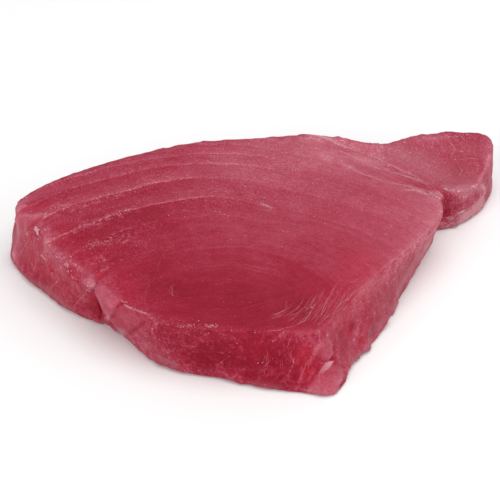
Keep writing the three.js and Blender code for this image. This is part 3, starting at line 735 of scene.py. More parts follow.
def facing(points, normals):
    """1 where a surface faces the camera, 0 where it is turned away."""
    away = points - np.array(EYE)
    away /= np.linalg.norm(away, axis=1)[:, None]
    return ease(-np.sum(away * normals, axis=1), *FACING_SHARE)


# Numbers

def ease(value, low, high):
    """Smooth step from 0 at low to 1 at high."""
    share = np.clip((value - low) / (high - low), 0, 1)
    return share * share * (3 - 2 * share)


def scrambled(number):
    """Repeatable random share, from 0 to 1, of a whole number."""
    number = number.astype(np.uint64)
    for shift, factor in SCRAMBLE_STEPS:
        number = (number ^ (number >> np.uint64(shift))) * np.uint64(factor)
    number = number ^ (number >> np.uint64(SCRAMBLE_LAST_SHIFT))
    return (number >> np.uint64(64 - SHARE_BITS)).astype(float) / 2 ** SHARE_BITS


def noise(points, size, seed):
    """Smooth random field from -1 to 1, with lumps about the given size."""
    cell = points / size
    low = np.floor(cell)
    part = cell - low
    part = part * part * (3 - 2 * part)
    low = low.astype(np.int64)
    total = np.zeros(len(points))
    for corner in itertools.product((0, 1), repeat=3):
        number = (low + corner) @ np.array(PLACE_PRIMES) + seed * SEED_PRIME
        weight = np.prod(np.where(corner, part, 1 - part), axis=1)
        total += weight * scrambled(number)
    return total * 2 - 1


def layered(points, size, seed, layers):
    """Noise of several sizes, each half as large and half as strong as the last."""
    total = np.zeros(len(points))
    for layer in range(layers):
        total += noise(points, size / 2 ** layer, seed + layer) / 2 ** layer
    return total


def waves(points, rows):
    """Sum of the rows of an unevenness."""
    return sum(strength * layered(points, size, seed, layers) for strength, size, seed, layers in rows)


def patch(pixels, outline, soft):
    """1 inside an outline given in pixels, falling to 0 over a soft edge."""
    corners = np.array(outline, float)
    gap = np.full(len(pixels), np.inf)
    inside = np.zeros(len(pixels), bool)
    for start, end in zip(corners, np.roll(corners, -1, axis=0)):
        along = end - start
        share = np.clip((pixels - start) @ along / (along @ along), 0, 1)
        gap = np.minimum(gap, np.linalg.norm(pixels - start - share[:, None] * along, axis=1))
        if start[1] != end[1]:
            crossing = start[0] + (pixels[:, 1] - start[1]) / along[1] * along[0]
            between = (start[1] > pixels[:, 1]) != (end[1] > pixels[:, 1])
            inside ^= between & (pixels[:, 0] < crossing)
    return ease(np.where(inside, gap, -gap), -soft, soft)


# Mesh of the flesh

def flesh_object():
    """Fine, evenly meshed copy of the solid."""
    piece = bpy.data.objects.new("loin_flesh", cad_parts[NODE].data.copy())
    bpy.context.scene.collection.objects.link(piece)
    remesh = piece.modifiers.new("even_mesh", "REMESH")
    remesh.mode = "VOXEL"
    remesh.voxel_size = VOXEL / METRE
    soften = piece.modifiers.new("soften", "SMOOTH")
    soften.factor = SMOOTH_FACTOR
    soften.iterations = SMOOTH_ROUNDS
    graph = bpy.context.evaluated_depsgraph_get()
    mesh = bpy.data.meshes.new_from_object(piece.evaluated_get(graph))
    piece.modifiers.clear()
    piece.data = mesh
    mesh.materials.clear()
    mesh.shade_smooth()
    return piece


def points_of(mesh):
    found = np.empty(len(mesh.vertices) * 3, np.float32)
    mesh.vertices.foreach_get("co", found)
    return found.reshape(-1, 3).astype(float) * METRE


def normals_of(mesh):
    found = np.empty(len(mesh.vertices) * 3, np.float32)
    mesh.vertex_normals.foreach_get("vector", found)
    return found.reshape(-1, 3).astype(float)


def surface_tree(mesh):
    """Search tree of a mesh, in millimetres."""
    corners = [Vector(point) for point in points_of(mesh)]
    return BVHTree.FromPolygons(corners, [face.vertices for face in mesh.polygons])


def traced(tree, pixels, step=TRACE_STEP):
    """Points and normals of the surface along a path given in pixels."""
    stops = [Vector(pixel) for pixel in pixels]
    dense = [stops[0]]
    for start, end in zip(stops, stops[1:]):
        count = max(1, round((end - start).length / PIXELS_PER_MM / step))
        dense += [start.lerp(end, index / count) for index in range(1, count + 1)]
    found = [tree.ray_cast(EYE, pixel_ray(pixel))[:2] for pixel in dense]
    found = [hit for hit in found if hit[0] is not None]
    return [hit[0] for hit in found], [hit[1] for hit in found]


def distance_to(points, path, reach):
    """Distance of each point to a path, or the reach where it is farther."""
    path = np.array(path, float)
    near = np.all((points > path.min(0) - reach) & (points < path.max(0) + reach), axis=1)
    index = np.flatnonzero(near)
    best = np.full(len(points), float(reach))
    if len(path) == 1:
        path = np.repeat(path, 2, axis=0)
    for start, end in zip(path, path[1:]):
        along = end - start
        length = max(float(along @ along), TINY)
        share = np.clip((points[index] - start) @ along / length, 0, 1)
        gap = np.linalg.norm(points[index] - start - share[:, None] * along, axis=1)
        best[index] = np.minimum(best[index], gap)
    return best


def stroke(points, tree, pixels, half_width):
    """Soft brush stroke from 1 on a path to 0 away from it."""
    path, _ = traced(tree, pixels)
    reach = half_width * STROKE_REACH
    gap = distance_to(points, path, reach)
    return np.exp(-(gap / half_width) ** 2) * (gap < reach)


def summed(points, tree, rows):
    """Sum of strokes, each times its strength."""
    total = np.zeros(len(points))
    for path, half_width, strength in rows:
        total += strength * stroke(points, tree, path, half_width)
    return total


def strongest(points, tree, rows):
    """Greatest of strokes, each times its strength."""
    total = np.zeros(len(points))
    for path, half_width, strength in rows:
        total = np.maximum(total, strength * stroke(points, tree, path, half_width))
    return total


def patched(pixels, seen, rows):
    """Sum of patches on what the camera sees, each times its strength."""
    total = np.zeros(len(pixels))
    for outline, soft, strength in rows:
        total += strength * seen * patch(pixels, outline, soft)
    return total


def ring_level(x, y):
    """Ring on which a point of the cut face lies, as its half depth, and the direction from the eye."""
    aside = x - RING_EYE[0]
    back = y - RING_EYE[1]
    to_right = ease(aside, *RING_SIDE_BLEND)
    core = RING_CORE[0] + (RING_CORE[1] - RING_CORE[0]) * to_right
    widening = RING_WIDENING[0] + (RING_WIDENING[1] - RING_WIDENING[0]) * to_right
    front_right = to_right * ease(-back, *RING_CORNER_BLEND)
    power = RING_ROUNDNESS[0] + (RING_ROUNDNESS[1] - RING_ROUNDNESS[0]) * front_right
    squash = 1 + (RING_FRONT_SQUASH - 1) * ease(-back, *RING_FRONT_BLEND)
    depth = np.abs(back) / squash
    level = depth + np.abs(aside) / 2 + 1
    for _ in range(RING_ROUNDS):
        narrowed = np.abs(aside) * level / (widening * level + core)
        level = (narrowed ** power + depth ** power) ** (1 / power)
    angle = np.arctan2(back / squash, aside * level / (widening * level + core))
    return level, angle


def ring_edge(level):
    """Paleness and height of the rings: a sharp inner edge that fades outwards."""
    total = np.zeros(len(level))
    for ring, strength, _ in RINGS:
        out = level - ring
        rise = ease(out, -RING_RISE / 2, RING_RISE / 2)
        total = np.maximum(total, strength * rise * np.clip(1 - out / RING_FADE, 0, 1))
    return total


def store(mesh, name, values):
    kind = "FLOAT" if values.ndim == 1 else "FLOAT_VECTOR"
    attribute = mesh.attributes.new(name, kind, "POINT")
    field = "value" if values.ndim == 1 else "vector"
    attribute.data.foreach_set(field, values.astype(np.float32).ravel())


def shape_flesh(piece):
    """Gives the flesh its relief and stores the fields that its material reads.

    Returns how likely a crumb of the rings is to lie at each vertex.
    """
    mesh = piece.data
    tree = surface_tree(mesh)
    points = points_of(mesh)
    normals = normals_of(mesh)
    pixels = seen_at(points)
    seen = facing(points, normals)
    x, y, z = points.T

    # Parts of the surface
    top = ease(normals[:, 2], *CUT_TILT)
    under = ease(-normals[:, 2], *CUT_TILT)
    cut = np.maximum(top, under)
    wall = 1 - cut
    hidden = wall * (1 - seen)
    rim = 4 * top * (1 - top) * ease(z, *RIM_HEIGHTS)
    foot = wall * ease(-z, *FOOT_DEPTHS)
    rear = ease(normals[:, 1], *REAR_TURN) * ease(normals[:, 2], *REAR_TILT)
    beyond_seam = y - SEAM_POINT[1] - SEAM_SLOPE * (x - SEAM_POINT[0])
    past_seam = ease(beyond_seam, *SEAM_BLEND) * ease(x, *FLAP_STRETCH)
    flap = ease(beyond_seam, *FLAP_BLEND) * ease(x, *FLAP_STRETCH)
    even = np.zeros(len(points))
    for outline, soft in SMOOTH:
        even = np.maximum(even, seen * patch(pixels, outline, soft))
    mottled = wall * (MOTTLED_LEAST + (1 - MOTTLED_LEAST) * ease(-normals[:, 1], *MOTTLED_TURN))
    mottled *= 1 - MOTTLED_LOSS * even
    back = ease(y, *CRUMBLY_BACK) * (1 - CRUMBLY_WANING * ease(x, *CRUMBLY_WANING_STRETCH))
    crumbly_cut = np.maximum(ease(-x, *CRUMBLY_LEFT), back) * cut
    crumbly = np.maximum(crumbly_cut, np.maximum(mottled * CRUMBLY_SIDES, flap))
    crumbly = (CRUMBLY_LEAST + (1 - CRUMBLY_LEAST) * crumbly) * (1 - CRUMBLY_LOSS * even)

    # Rings, and layers at the back
    level, angle = ring_level(x, y)
    level = level + waves(points, RING_WAVES) + RING_LEAN * (z - z.max())
    level += RING_TURN * ease(x, *RING_TURN_STRETCH) * ease(y, *RING_TURN_DEPTH)
    reach = np.interp(level, *zip(*RING_REACH))
    ring_gain = 1 - (1 - RING_REMNANT) * ease(x, reach - RING_WANING, reach + RING_WANING)
    ring_gain *= RING_STRENGTH + waves(points * (1, 1, 0), RING_BREAKS)
    ring_gain *= (cut + RING_ON_WALL * wall) * (1 - past_seam) * (1 - even)
    edge = ring_edge(level) * ring_gain
    grain = np.stack([np.cos(angle) * GRAIN_LENGTH, np.sin(angle) * GRAIN_LENGTH, level * GRAIN_FINENESS], 1)
    turn = np.arctan2(x - LAYER_CENTRE[0], y - LAYER_CENTRE[1])
    layer = (turn * LAYER_DISTANCE + z * LAYER_LEAN) / LAYER_WIDTH + waves(points, LAYER_WAVES)
    layer_part = layer - np.floor(layer)
    layer_bulge = np.sqrt(4 * layer_part * (1 - layer_part))

    # Tones, read from the solid's surface before it moves
    carved = summed(points, tree, RELIEF) + patched(pixels, seen, RAISED)
    # Painted highlight on the rims, and painted light bounced up from the floor on the feet
    tone = BASE_TONE + RIM_HIGHLIGHT_TONE * rim + FOOT_BOUNCE_LIGHT_TONE * foot + WALL_TONE * wall
    # Painted shade in the grooves of the relief; raised lines and patches get paler
    tone += RELIEF_SHADE_TONE * np.clip(carved, -1, 1) + hidden * (waves(points, HIDDEN_CLOUDS) + HIDDEN_TONE)
    spots = [([(across, down)], half_width, change) for across, down, half_width, change in TONE_SPOTS]
    tone += summed(points, tree, TONES + tuple(spots)) + patched(pixels, seen, PATCHES)
    fields = {
        "tone": tone, "crumbly": crumbly, "ring": level / RING_SPAN, "ring_gain": ring_gain, "wall": wall,
        "mottled": mottled, "hidden": hidden, "layer": layer, "flap": flap * top, "grain": grain,
    }
    for name, rows in (("dull", DULL), ("vivid", VIVID), ("white", WHITE), ("clumps", CLUMPS)):
        fields[name] = strongest(points, tree, rows)

    # Relief
    rise = RING_STEP * edge + carved + summed(points, tree, SWELLS)
    rise += cut * waves(points, CUT_WAVES)
    rise += wall * (waves(points * FLUTE_STRETCH, FLUTE_WAVES) + waves(points, WALL_WAVES))
    rise += hidden * (LAYER_BULGE * layer_bulge - LAYER_SINK + waves(points, HIDDEN_WAVES))
    rise += foot * waves(points, FOOT_WAVES)
    rough_rim = rim * (1 - RIM_CALM * ease(x, *RIM_CALM_STRETCH))
    rough_rear = rear * (REAR_ROUGHNESS[0] + REAR_ROUGHNESS[1] * ease(x, *REAR_ROUGH_STRETCH))
    rise += np.maximum(rough_rim, rough_rear) * waves(points, EDGE_WAVES)
    rise *= 1 - under
    rise -= under * np.clip(UNDER_SINK + waves(points, UNDER_WAVES) - UNDER_RING_SINK * edge, *UNDER_LIMITS)
    moved = points + normals * rise[:, None]
    moved[:, 2] = np.maximum(moved[:, 2], 0.0)
    mesh.vertices.foreach_set("co", (moved / METRE).astype(np.float32).ravel())
    mesh.update()
    for name, values in fields.items():
        store(mesh, name, values)
    return np.clip(edge - CRUMBLY_EDGE, 0, None) ** 2


# Strands and crumbs

def walked(tree, start, direction, length, bend):
    """Path of a hair that follows the surface, with the normals along it."""
    point, normal, _, _ = tree.find_nearest(start)
    path = [point]
    normals = [normal]
    for _ in range(max(2, round(length / HAIR_STEP))):
        direction = direction - normal * direction.dot(normal)
        direction.normalize()
        direction.rotate(Quaternion(normal, bend))
        point, normal, _, _ = tree.find_nearest(point + direction * HAIR_STEP)
        path.append(point)
        normals.append(normal)
    return path, normals


def ring_tangents(points):
    """Directions along the rings, in plan."""
    x, y, _ = points.T
    reach = 0.5
    along_x = ring_level(x + reach, y)[0] - ring_level(x - reach, y)[0]
    along_y = ring_level(x, y + reach)[0] - ring_level(x, y - reach)[0]
    tangents = np.stack([-along_y, along_x, np.zeros(len(x))], 1)
    return tangents / np.linalg.norm(tangents, axis=1)[:, None]


def hairs(mesh, tree):
    """Fine hairs all over: along the rings on the cut faces, upright on the sides."""
    draw = np.random.default_rng(HAIR_SEED)
    points = points_of(mesh)
    normals = normals_of(mesh)
    chosen = draw.choice(len(points), HAIR_COUNT, replace=False)
    tangents = ring_tangents(points[chosen])
    found = []
    for index, tangent in zip(chosen, tangents):
        normal = Vector(normals[index])
        direction = Vector(tangent) if abs(normal.z) > HAIR_LEVEL_TILT else Vector((0, 0, 1))
        direction.rotate(Quaternion(normal, draw.normal(0, HAIR_STRAY / 2)))
        length = draw.uniform(*HAIR_LENGTHS)
        path = walked(tree, Vector(points[index]), direction, length, draw.normal(0, HAIR_BEND))
        found.append((*path, draw.uniform(*HAIR_WIDTHS), draw.uniform(*HAIR_PALENESS)))
    return found


def strayed(draw, normal, spread):
    """Random offset along the surface."""
    offset = Vector(draw.normal(0, spread / 2, 3))
    return offset - normal * offset.dot(normal)


def some_of(draw, line):
    """Random run of a line of four points."""
    begin = draw.uniform(0, RUN_LAST_BEGIN)
    stops = np.linspace(begin, min(3, begin + draw.uniform(*RUN_LENGTHS)), RUN_STOPS)
    return np.stack([np.interp(stops, range(4), line[:, axis]) for axis in (0, 1)], 1)


def feather():
    """Paths in pixels, widths and paleness of the fine strands that lie side by side, and of the arcs."""
    draw = np.random.default_rng(FEATHER_SEED)
    found = []
    for first, second, count in zip(FEATHER_LINES, FEATHER_LINES[1:], FEATHER_COUNTS):
        for _ in range(count):
            share = draw.uniform(0, 1)
            path = some_of(draw, np.array(first) * (1 - share) + np.array(second) * share)
            path += draw.normal(0, FEATHER_SWAY, path.shape)
            found.append((path.tolist(), draw.uniform(*FEATHER_WIDTHS), draw.uniform(*FEATHER_PALENESS)))
    for line, count, paleness in ARCS:
        for _ in range(count):
            path = some_of(draw, np.array(line) + draw.normal(0, ARC_SPREAD, 2))
            found.append((path.tolist(), draw.uniform(*ARC_WIDTHS), draw.uniform(0, paleness)))
    return found


def dashes(tree):
    """Short dashes that lie along paths of the surface and stray to both sides of them."""
    draw = np.random.default_rng(DASH_SEED)
    found = []
    for pixels, spread, count, longest in DASHES:
        path, normals = traced(tree, pixels)
        for _ in range(count):
            index = draw.integers(len(path) - 1)
            direction = path[index + 1] - path[index]
            direction.rotate(Quaternion(normals[index], draw.normal(0, DASH_STRAY)))
            start = path[index] + strayed(draw, normals[index], spread)
            length = draw.uniform(DASH_SHORTEST, longest)
            walk = walked(tree, start, direction, length, draw.normal(0, HAIR_BEND))
            found.append((*walk, draw.uniform(*DASH_WIDTHS), draw.uniform(*DASH_PALENESS)))
    return found


def threads(mesh, tree):
    """Path, normals, width and paleness of every strand, hair and dash."""
    least, for_width = STRAND_PALENESS
    drawn = [(pixels, width, least + for_width * width) for pixels, width in STRANDS]
    found = []
    for pixels, width, paleness in drawn + feather():
        found.append((*traced(tree, pixels, HAIR_STEP), width, paleness))
    return found + hairs(mesh, tree) + dashes(tree)


def add_tube(faces, first, rings, sides):
    """Adds the faces of a closed tube, whose corners lie ring after ring from the first."""
    for ring in range(rings - 1):
        low = first + ring * sides
        for side in range(sides):
            beside = (side + 1) % sides
            faces.append((low + side, low + beside, low + sides + beside, low + sides + side))
    last = first + (rings - 1) * sides
    faces.append(tuple(range(first + sides - 1, first - 1, -1)))
    faces.append(tuple(range(last, last + sides)))


def strand_mesh(paths):
    """Thin flattened threads half sunk along the surface, broken into runs and pointed at both ends."""
    corners = []
    faces = []
    pale = []
    draw = np.random.default_rng(STRAND_SEED)
    for path, normals, width, paleness in paths:
        count = len(path)
        pale += [paleness] * (count * STRAND_SIDES)
        sway = np.cumsum(draw.normal(0, STRAND_SWAY, count))
        sway -= np.linspace(sway[0], sway[-1], count)
        along = np.stack([np.arange(count), np.zeros(count), np.zeros(count)], 1)
        runs = STRAND_FULLNESS + STRAND_BREAKS * noise(along, STRAND_RUN, len(corners))
        first = len(corners)
        for index, (point, normal) in enumerate(zip(path, normals)):
            ahead = path[min(index + 1, count - 1)] - path[max(index - 1, 0)]
            across = normal.cross(ahead).normalized()
            share = index / max(count - 1, 1)
            taper = min(1, STRAND_TAPER * share, STRAND_TAPER * (1 - share))
            body = taper * np.clip(runs[index], *STRAND_LIMITS)
            thick = max(width / 2 * body * draw.uniform(*STRAND_UNEVENNESS), STRAND_LEAST)
            centre = point + across * sway[index]
            for side in range(STRAND_SIDES):
                angle = math.tau * side / STRAND_SIDES
                lift = normal * (math.sin(angle) * thick * STRAND_FLATNESS)
                corners.append(centre + across * (math.cos(angle) * thick) + lift)
        add_tube(faces, first, count, STRAND_SIDES)
    return corners, faces, pale


def crumb_places(mesh, tree, ring_share):
    """Point, normal and largest size of every crumb."""
    draw = np.random.default_rng(CRUMB_PLACE_SEED)
    found = []
    for pixels, spread, count, size in CRUMBS:
        path, normals = traced(tree, pixels, CRUMB_STEP)
        for _ in range(count):
            index = draw.integers(len(path))
            point, normal, _, _ = tree.find_nearest(path[index] + strayed(draw, normals[index], spread))
            found.append((point, normal, size))
    points = points_of(mesh)
    alike = np.full(len(points), 1 / len(points))
    for (count, size), share in ((RING_CRUMBS, ring_share / ring_share.sum()), (LOOSE_CRUMBS, alike)):
        for index in draw.choice(len(points), count, replace=False, p=share):
            offset = Vector(draw.uniform(-VOXEL / 2, VOXEL / 2, 3))
            point, normal, _, _ = tree.find_nearest(Vector(points[index]) + offset)
            found.append((point, normal, size))
    return found


def crumb_mesh(places):
    """Small uneven lumps, half sunk in the surface."""
    corners = []
    faces = []
    pale = []
    draw = np.random.default_rng(CRUMB_SHAPE_SEED)
    least, spread, power = CRUMB_SIZES
    for point, normal, size in places:
        across = normal.orthogonal().normalized()
        across.rotate(Matrix.Rotation(draw.uniform(0, math.tau), 3, normal))
        beside = normal.cross(across)
        radius = size / 2 * (least + spread * draw.uniform() ** power)
        long = draw.uniform(*CRUMB_LENGTHS)
        high = radius * CRUMB_HEIGHT
        first = len(corners)
        corners.append(point + normal * high)
        for row in range(1, CRUMB_ROWS):
            tilt = math.pi * row / CRUMB_ROWS
            for side in range(CRUMB_SIDES):
                angle = math.tau * side / CRUMB_SIDES
                reach = radius * math.sin(tilt) * draw.uniform(*CRUMB_UNEVENNESS)
                flat = across * (math.cos(angle) * reach * long) + beside * (math.sin(angle) * reach)
                corners.append(point + flat + normal * (math.cos(tilt) * high))
        corners.append(point - normal * high)
        pale += [draw.uniform(*CRUMB_PALENESS)] * (len(corners) - first)
        end = len(corners) - 1
        for side in range(CRUMB_SIDES):
            near = (side + 1) % CRUMB_SIDES
            faces.append((first, first + 1 + side, first + 1 + near))
            faces.append((end, end - CRUMB_SIDES + near, end - CRUMB_SIDES + side))
            for row in range(CRUMB_ROWS - 2):
                low = first + 1 + row * CRUMB_SIDES
                faces.append((low + side, low + CRUMB_SIDES + side, low + CRUMB_SIDES + near, low + near))
    return corners, faces, pale


def add_flakes(tree, corners, faces, pale):
    """Adds the scraps and specks to the crumbs: nested outlines that follow the surface, closed below it."""
    specks = []
    for x, y in SPECKS:
        outline = [(x + right, y + down) for right, down in SPECK_CORNERS]
        specks.append((outline, SPECK_PALENESS, SPECK_PALENESS))
    for outline, near_paleness, far_paleness in FLAKES + tuple(specks):
        edge = np.array(outline, float)
        longest = np.linalg.norm(edge - edge[0], axis=1).max()
        middle = edge.mean(0)
        first = len(corners)
        for share, height in FLAKE_STEPS:
            for pixel in middle + (edge - middle) * share:
                point, normal, _, _ = tree.ray_cast(EYE, pixel_ray(pixel))
                corners.append(point + normal * height)
                share_away = np.linalg.norm(pixel - edge[0]) / longest
                pale.append(near_paleness + (far_paleness - near_paleness) * share_away)
        add_tube(faces, first, len(FLAKE_STEPS), len(edge))


def new_piece(name, corners, faces, pale, material):
    """Piece of connective tissue that keeps its paleness."""
    mesh = bpy.data.meshes.new(name)
    places = np.array(corners)
    places[:, 2] = np.maximum(places[:, 2], 0.0)
    mesh.from_pydata((places / METRE).tolist(), [], faces)
    store(mesh, "pale", np.array(pale))
    mesh.shade_smooth()
    mesh.materials.append(material)
    piece = bpy.data.objects.new(name, mesh)
    bpy.context.scene.collection.objects.link(piece)
    return piece


# Materials

def screen_colour(red, green, blue):
    """Linear colour of a colour given as it shows on a screen, 0 to 255."""
    values = []
    for channel in (red, green, blue):
        share = channel / 255
        values.append(share / 12.92 if share <= 0.04045 else ((share + 0.055) / 1.055) ** 2.4)
    return (*values, 1.0)


FLESH_TONES = (
    (0.0, screen_colour(129, 4, 32)),
    (0.3, screen_colour(153, 31, 56)),
    (0.55, screen_colour(169, 66, 86)),
    (0.8, screen_colour(187, 99, 115)),
    (1.0, screen_colour(208, 142, 150)),
)
VIVID_RED = screen_colour(182, 40, 58)
DULL_GREY = screen_colour(158, 108, 117)
WHITE_FILM = screen_colour(212, 158, 167)
TISSUE_TONES = (
    (0.0, screen_colour(168, 62, 82)),
    (0.5, screen_colour(187, 108, 122)),
    (1.0, screen_colour(211, 162, 171)),
)
FLOOR_GREYS = ((0.93, 0.93, 0.93, 1), (0.95, 0.95, 0.95, 1))

# Parts of the flesh's tone and height: how far they stray, the size of their cells, or how strong they are.
RING_RAGGEDNESS = 0.006
CLOUD_TONE = 0.14
FINE_TONE = 0.3
VEIN_CELL = 5.0
VEIN_TONE = 0.26
FLECK_CELL = 1.4
FLECK_TONE = 1.05
CRUST_RAGGEDNESS = 0.8
CRUST_HEIGHT = 0.5
HAZE_HEIGHT = 0.4
BUMP_STRENGTH = 0.5
BUMP_METRES = 0.0006
FLESH_ROUGHNESS = 0.44
ROUGHNESS_CHANGE = 0.08
TISSUE_CLOUDS = 0.2
TISSUE_GRIT = 0.25


class Tree:
    """Node tree of a material, with short calls for its nodes."""

    def __init__(self, name):
        self.material = bpy.data.materials.new(name)
        self.material.use_nodes = True
        self.nodes = self.material.node_tree.nodes
        self.links = self.material.node_tree.links
        self.shader = self.nodes["Principled BSDF"]

    def put(self, socket, value):
        if isinstance(value, bpy.types.NodeSocket):
            self.links.new(value, socket)
        else:
            socket.default_value = value

    def shade(self, inputs):
        for name, value in inputs.items():
            self.put(self.shader.inputs[name], value)

    def add(self, kind, inputs, **settings):
        node = self.nodes.new("ShaderNode" + kind)
        for name, value in settings.items():
            setattr(node, name, value)
        for name, value in inputs.items():
            self.put(node.inputs[name], value)
        return node

    def attribute(self, name, output="Fac"):
        return self.add("Attribute", {}, attribute_name=name).outputs[output]

    def place(self):
        return self.add("TexCoord", {}).outputs["Object"]

    def maths(self, operation, *values):
        return self.add("Math", dict(enumerate(values)), operation=operation).outputs[0]

    def noise(self, vector, size, detail=2.0, rough=0.5):
        """Noise from about -1 to 1 with lumps of the given size in millimetres of a place in metres."""
        inputs = {"Vector": vector, "Scale": METRE / size, "Detail": detail, "Roughness": rough}
        return self.centred(self.add("TexNoise", inputs).outputs["Fac"])

    def grain(self, vector, scale):
        """Noise from about -1 to 1 of a place in the grain, scaled along each of its axes."""
        scaled = self.add("VectorMath", {0: vector, 1: scale}, operation="MULTIPLY").outputs[0]
        inputs = {"Vector": scaled, "Scale": 1.0, "Detail": 2.0}
        return self.centred(self.add("TexNoise", inputs).outputs["Fac"])

    def centred(self, value):
        return self.maths("MULTIPLY_ADD", value, 2.0, -1.0)

    def ranged(self, value, low, high, to_low=0.0, to_high=1.0):
        inputs = {0: value, 1: low, 2: high, 3: to_low, 4: to_high}
        return self.add("MapRange", inputs).outputs[0]

    def ramp(self, value, stops):
        node = self.add("ValToRGB", {"Fac": value})
        elements = node.color_ramp.elements
        elements[0].position, elements[0].color = stops[0]
        elements[1].position, elements[1].color = stops[-1]
        for position, colour in stops[1:-1]:
            elements.new(position).color = colour
        return node.outputs["Color"]

    def mixed(self, share, first, second):
        node = self.add("Mix", {0: share, 6: first, 7: second}, data_type="RGBA")
        return node.outputs[2]

    def total(self, *values):
        found = values[0]
        for value in values[1:]:
            found = self.maths("ADD", found, value)
        return found

    def product(self, *values):
        found = values[0]
        for value in values[1:]:
            found = self.maths("MULTIPLY", found, value)
        return found


def ring_stops(strengths, fade):
    """Ramp stops that draw each ring as a sharp pale edge fading outwards over the given width."""
    stops = [(0.0, (0, 0, 0, 1))]
    levels_of = [ring[0] for ring in RINGS] + [RING_SPAN]
    for ring, following, strength in zip(levels_of, levels_of[1:], strengths):
        end = min(ring + fade, following - RING_RISE)
        rest = strength * (1 - (end - ring) / fade)
        levels = ((ring - RING_RISE / 2, 0.0), (ring + RING_RISE / 2, strength), (end, rest))
        stops += [(level / RING_SPAN, (grey, grey, grey, 1)) for level, grey in levels]
    return stops


def ring_tones(tree, place, along):
    """Paleness that the rings add, and their haze alone."""
    ragged = tree.maths("MULTIPLY_ADD", tree.noise(place, size=1.2), RING_RAGGEDNESS, tree.attribute("ring"))
    gain = tree.attribute("ring_gain")
    _, hazes, crests = zip(*RINGS)
    haze = tree.product(tree.ramp(ragged, ring_stops(hazes, RING_FADE)), gain)
    crest = tree.product(tree.ramp(ragged, ring_stops(crests, RING_CREST)), gain)
    across = tree.grain(along, (4.0, 4.0, 0.3))
    streaked = tree.product(haze, tree.ranged(across, -0.5, 0.5, to_low=0.2, to_high=0.36))
    speckle = tree.ranged(tree.noise(place, size=1.3, detail=4.0, rough=0.75), 0.0, 0.4)
    speckled = tree.product(crest, tree.ranged(speckle, 0, 1, to_low=0.1, to_high=0.9))
    return tree.total(streaked, speckled), haze


def grain_tones(tree, along, wall):
    """Fine grain along the rings, faint on the sides."""
    fibres = tree.total(tree.grain(along, (0.15, 0.15, 0.6)), tree.grain(along, (2.0, 2.0, 1.6)))
    return tree.product(fibres, tree.ranged(wall, 0, 1, to_low=0.09, to_high=0.01))


def web_tones(tree, place, mottled):
    """Web of fine pale lines on the mottled sides."""
    folds = tree.maths("ABSOLUTE", tree.noise(place, size=4.5, detail=3.0, rough=0.6))
    lines = tree.ranged(folds, 0.0, 0.06, to_low=1.0, to_high=0.0)
    gaps = tree.ranged(tree.noise(place, size=4.0), -0.1, 0.4)
    return tree.product(lines, gaps, tree.ranged(mottled, 0, 1, to_low=0.08, to_high=0.5))


def vein_tones(tree, place, flap):
    """Net of pale veins on the flap."""
    cells = tree.add("TexVoronoi", {"Vector": place, "Scale": METRE / VEIN_CELL}, feature="DISTANCE_TO_EDGE")
    veins = tree.ranged(cells.outputs["Distance"], 0.0, 0.05, to_low=1.0, to_high=0.0)
    return tree.product(veins, flap, tree.ranged(tree.noise(place, size=6.0), 0.0, 0.5), VEIN_TONE)


def fleck_tones(tree, place, crumbly):
    """Pale flecks where the flesh is crumbly."""
    dots = tree.add("TexVoronoi", {"Vector": place, "Scale": METRE / FLECK_CELL}, feature="F1")
    dot = tree.ranged(dots.outputs["Distance"], 0.12, 0.22, to_low=1.0, to_high=0.0)
    chosen = tree.add("SeparateColor", {0: dots.outputs["Color"]}).outputs[0]
    return tree.product(dot, tree.ranged(chosen, 0.8, 1.0), crumbly, FLECK_TONE)


def layer_tones(tree, place):
    """Pale lines between the layers at the back, and a paler edge to each layer."""
    part = tree.maths("FRACT", tree.attribute("layer"))
    line = tree.ranged(tree.maths("ABSOLUTE", tree.maths("SUBTRACT", part, 0.5)), 0.46, 0.495)
    gaps = tree.ranged(tree.noise(place, size=7.0, detail=3.0), -0.4, 0.3, to_low=0.05, to_high=0.34)
    edge = tree.ranged(part, 0.0, 0.5, to_low=0.16, to_high=0.0)
    return tree.product(tree.total(tree.product(line, gaps), edge), tree.attribute("hidden"))


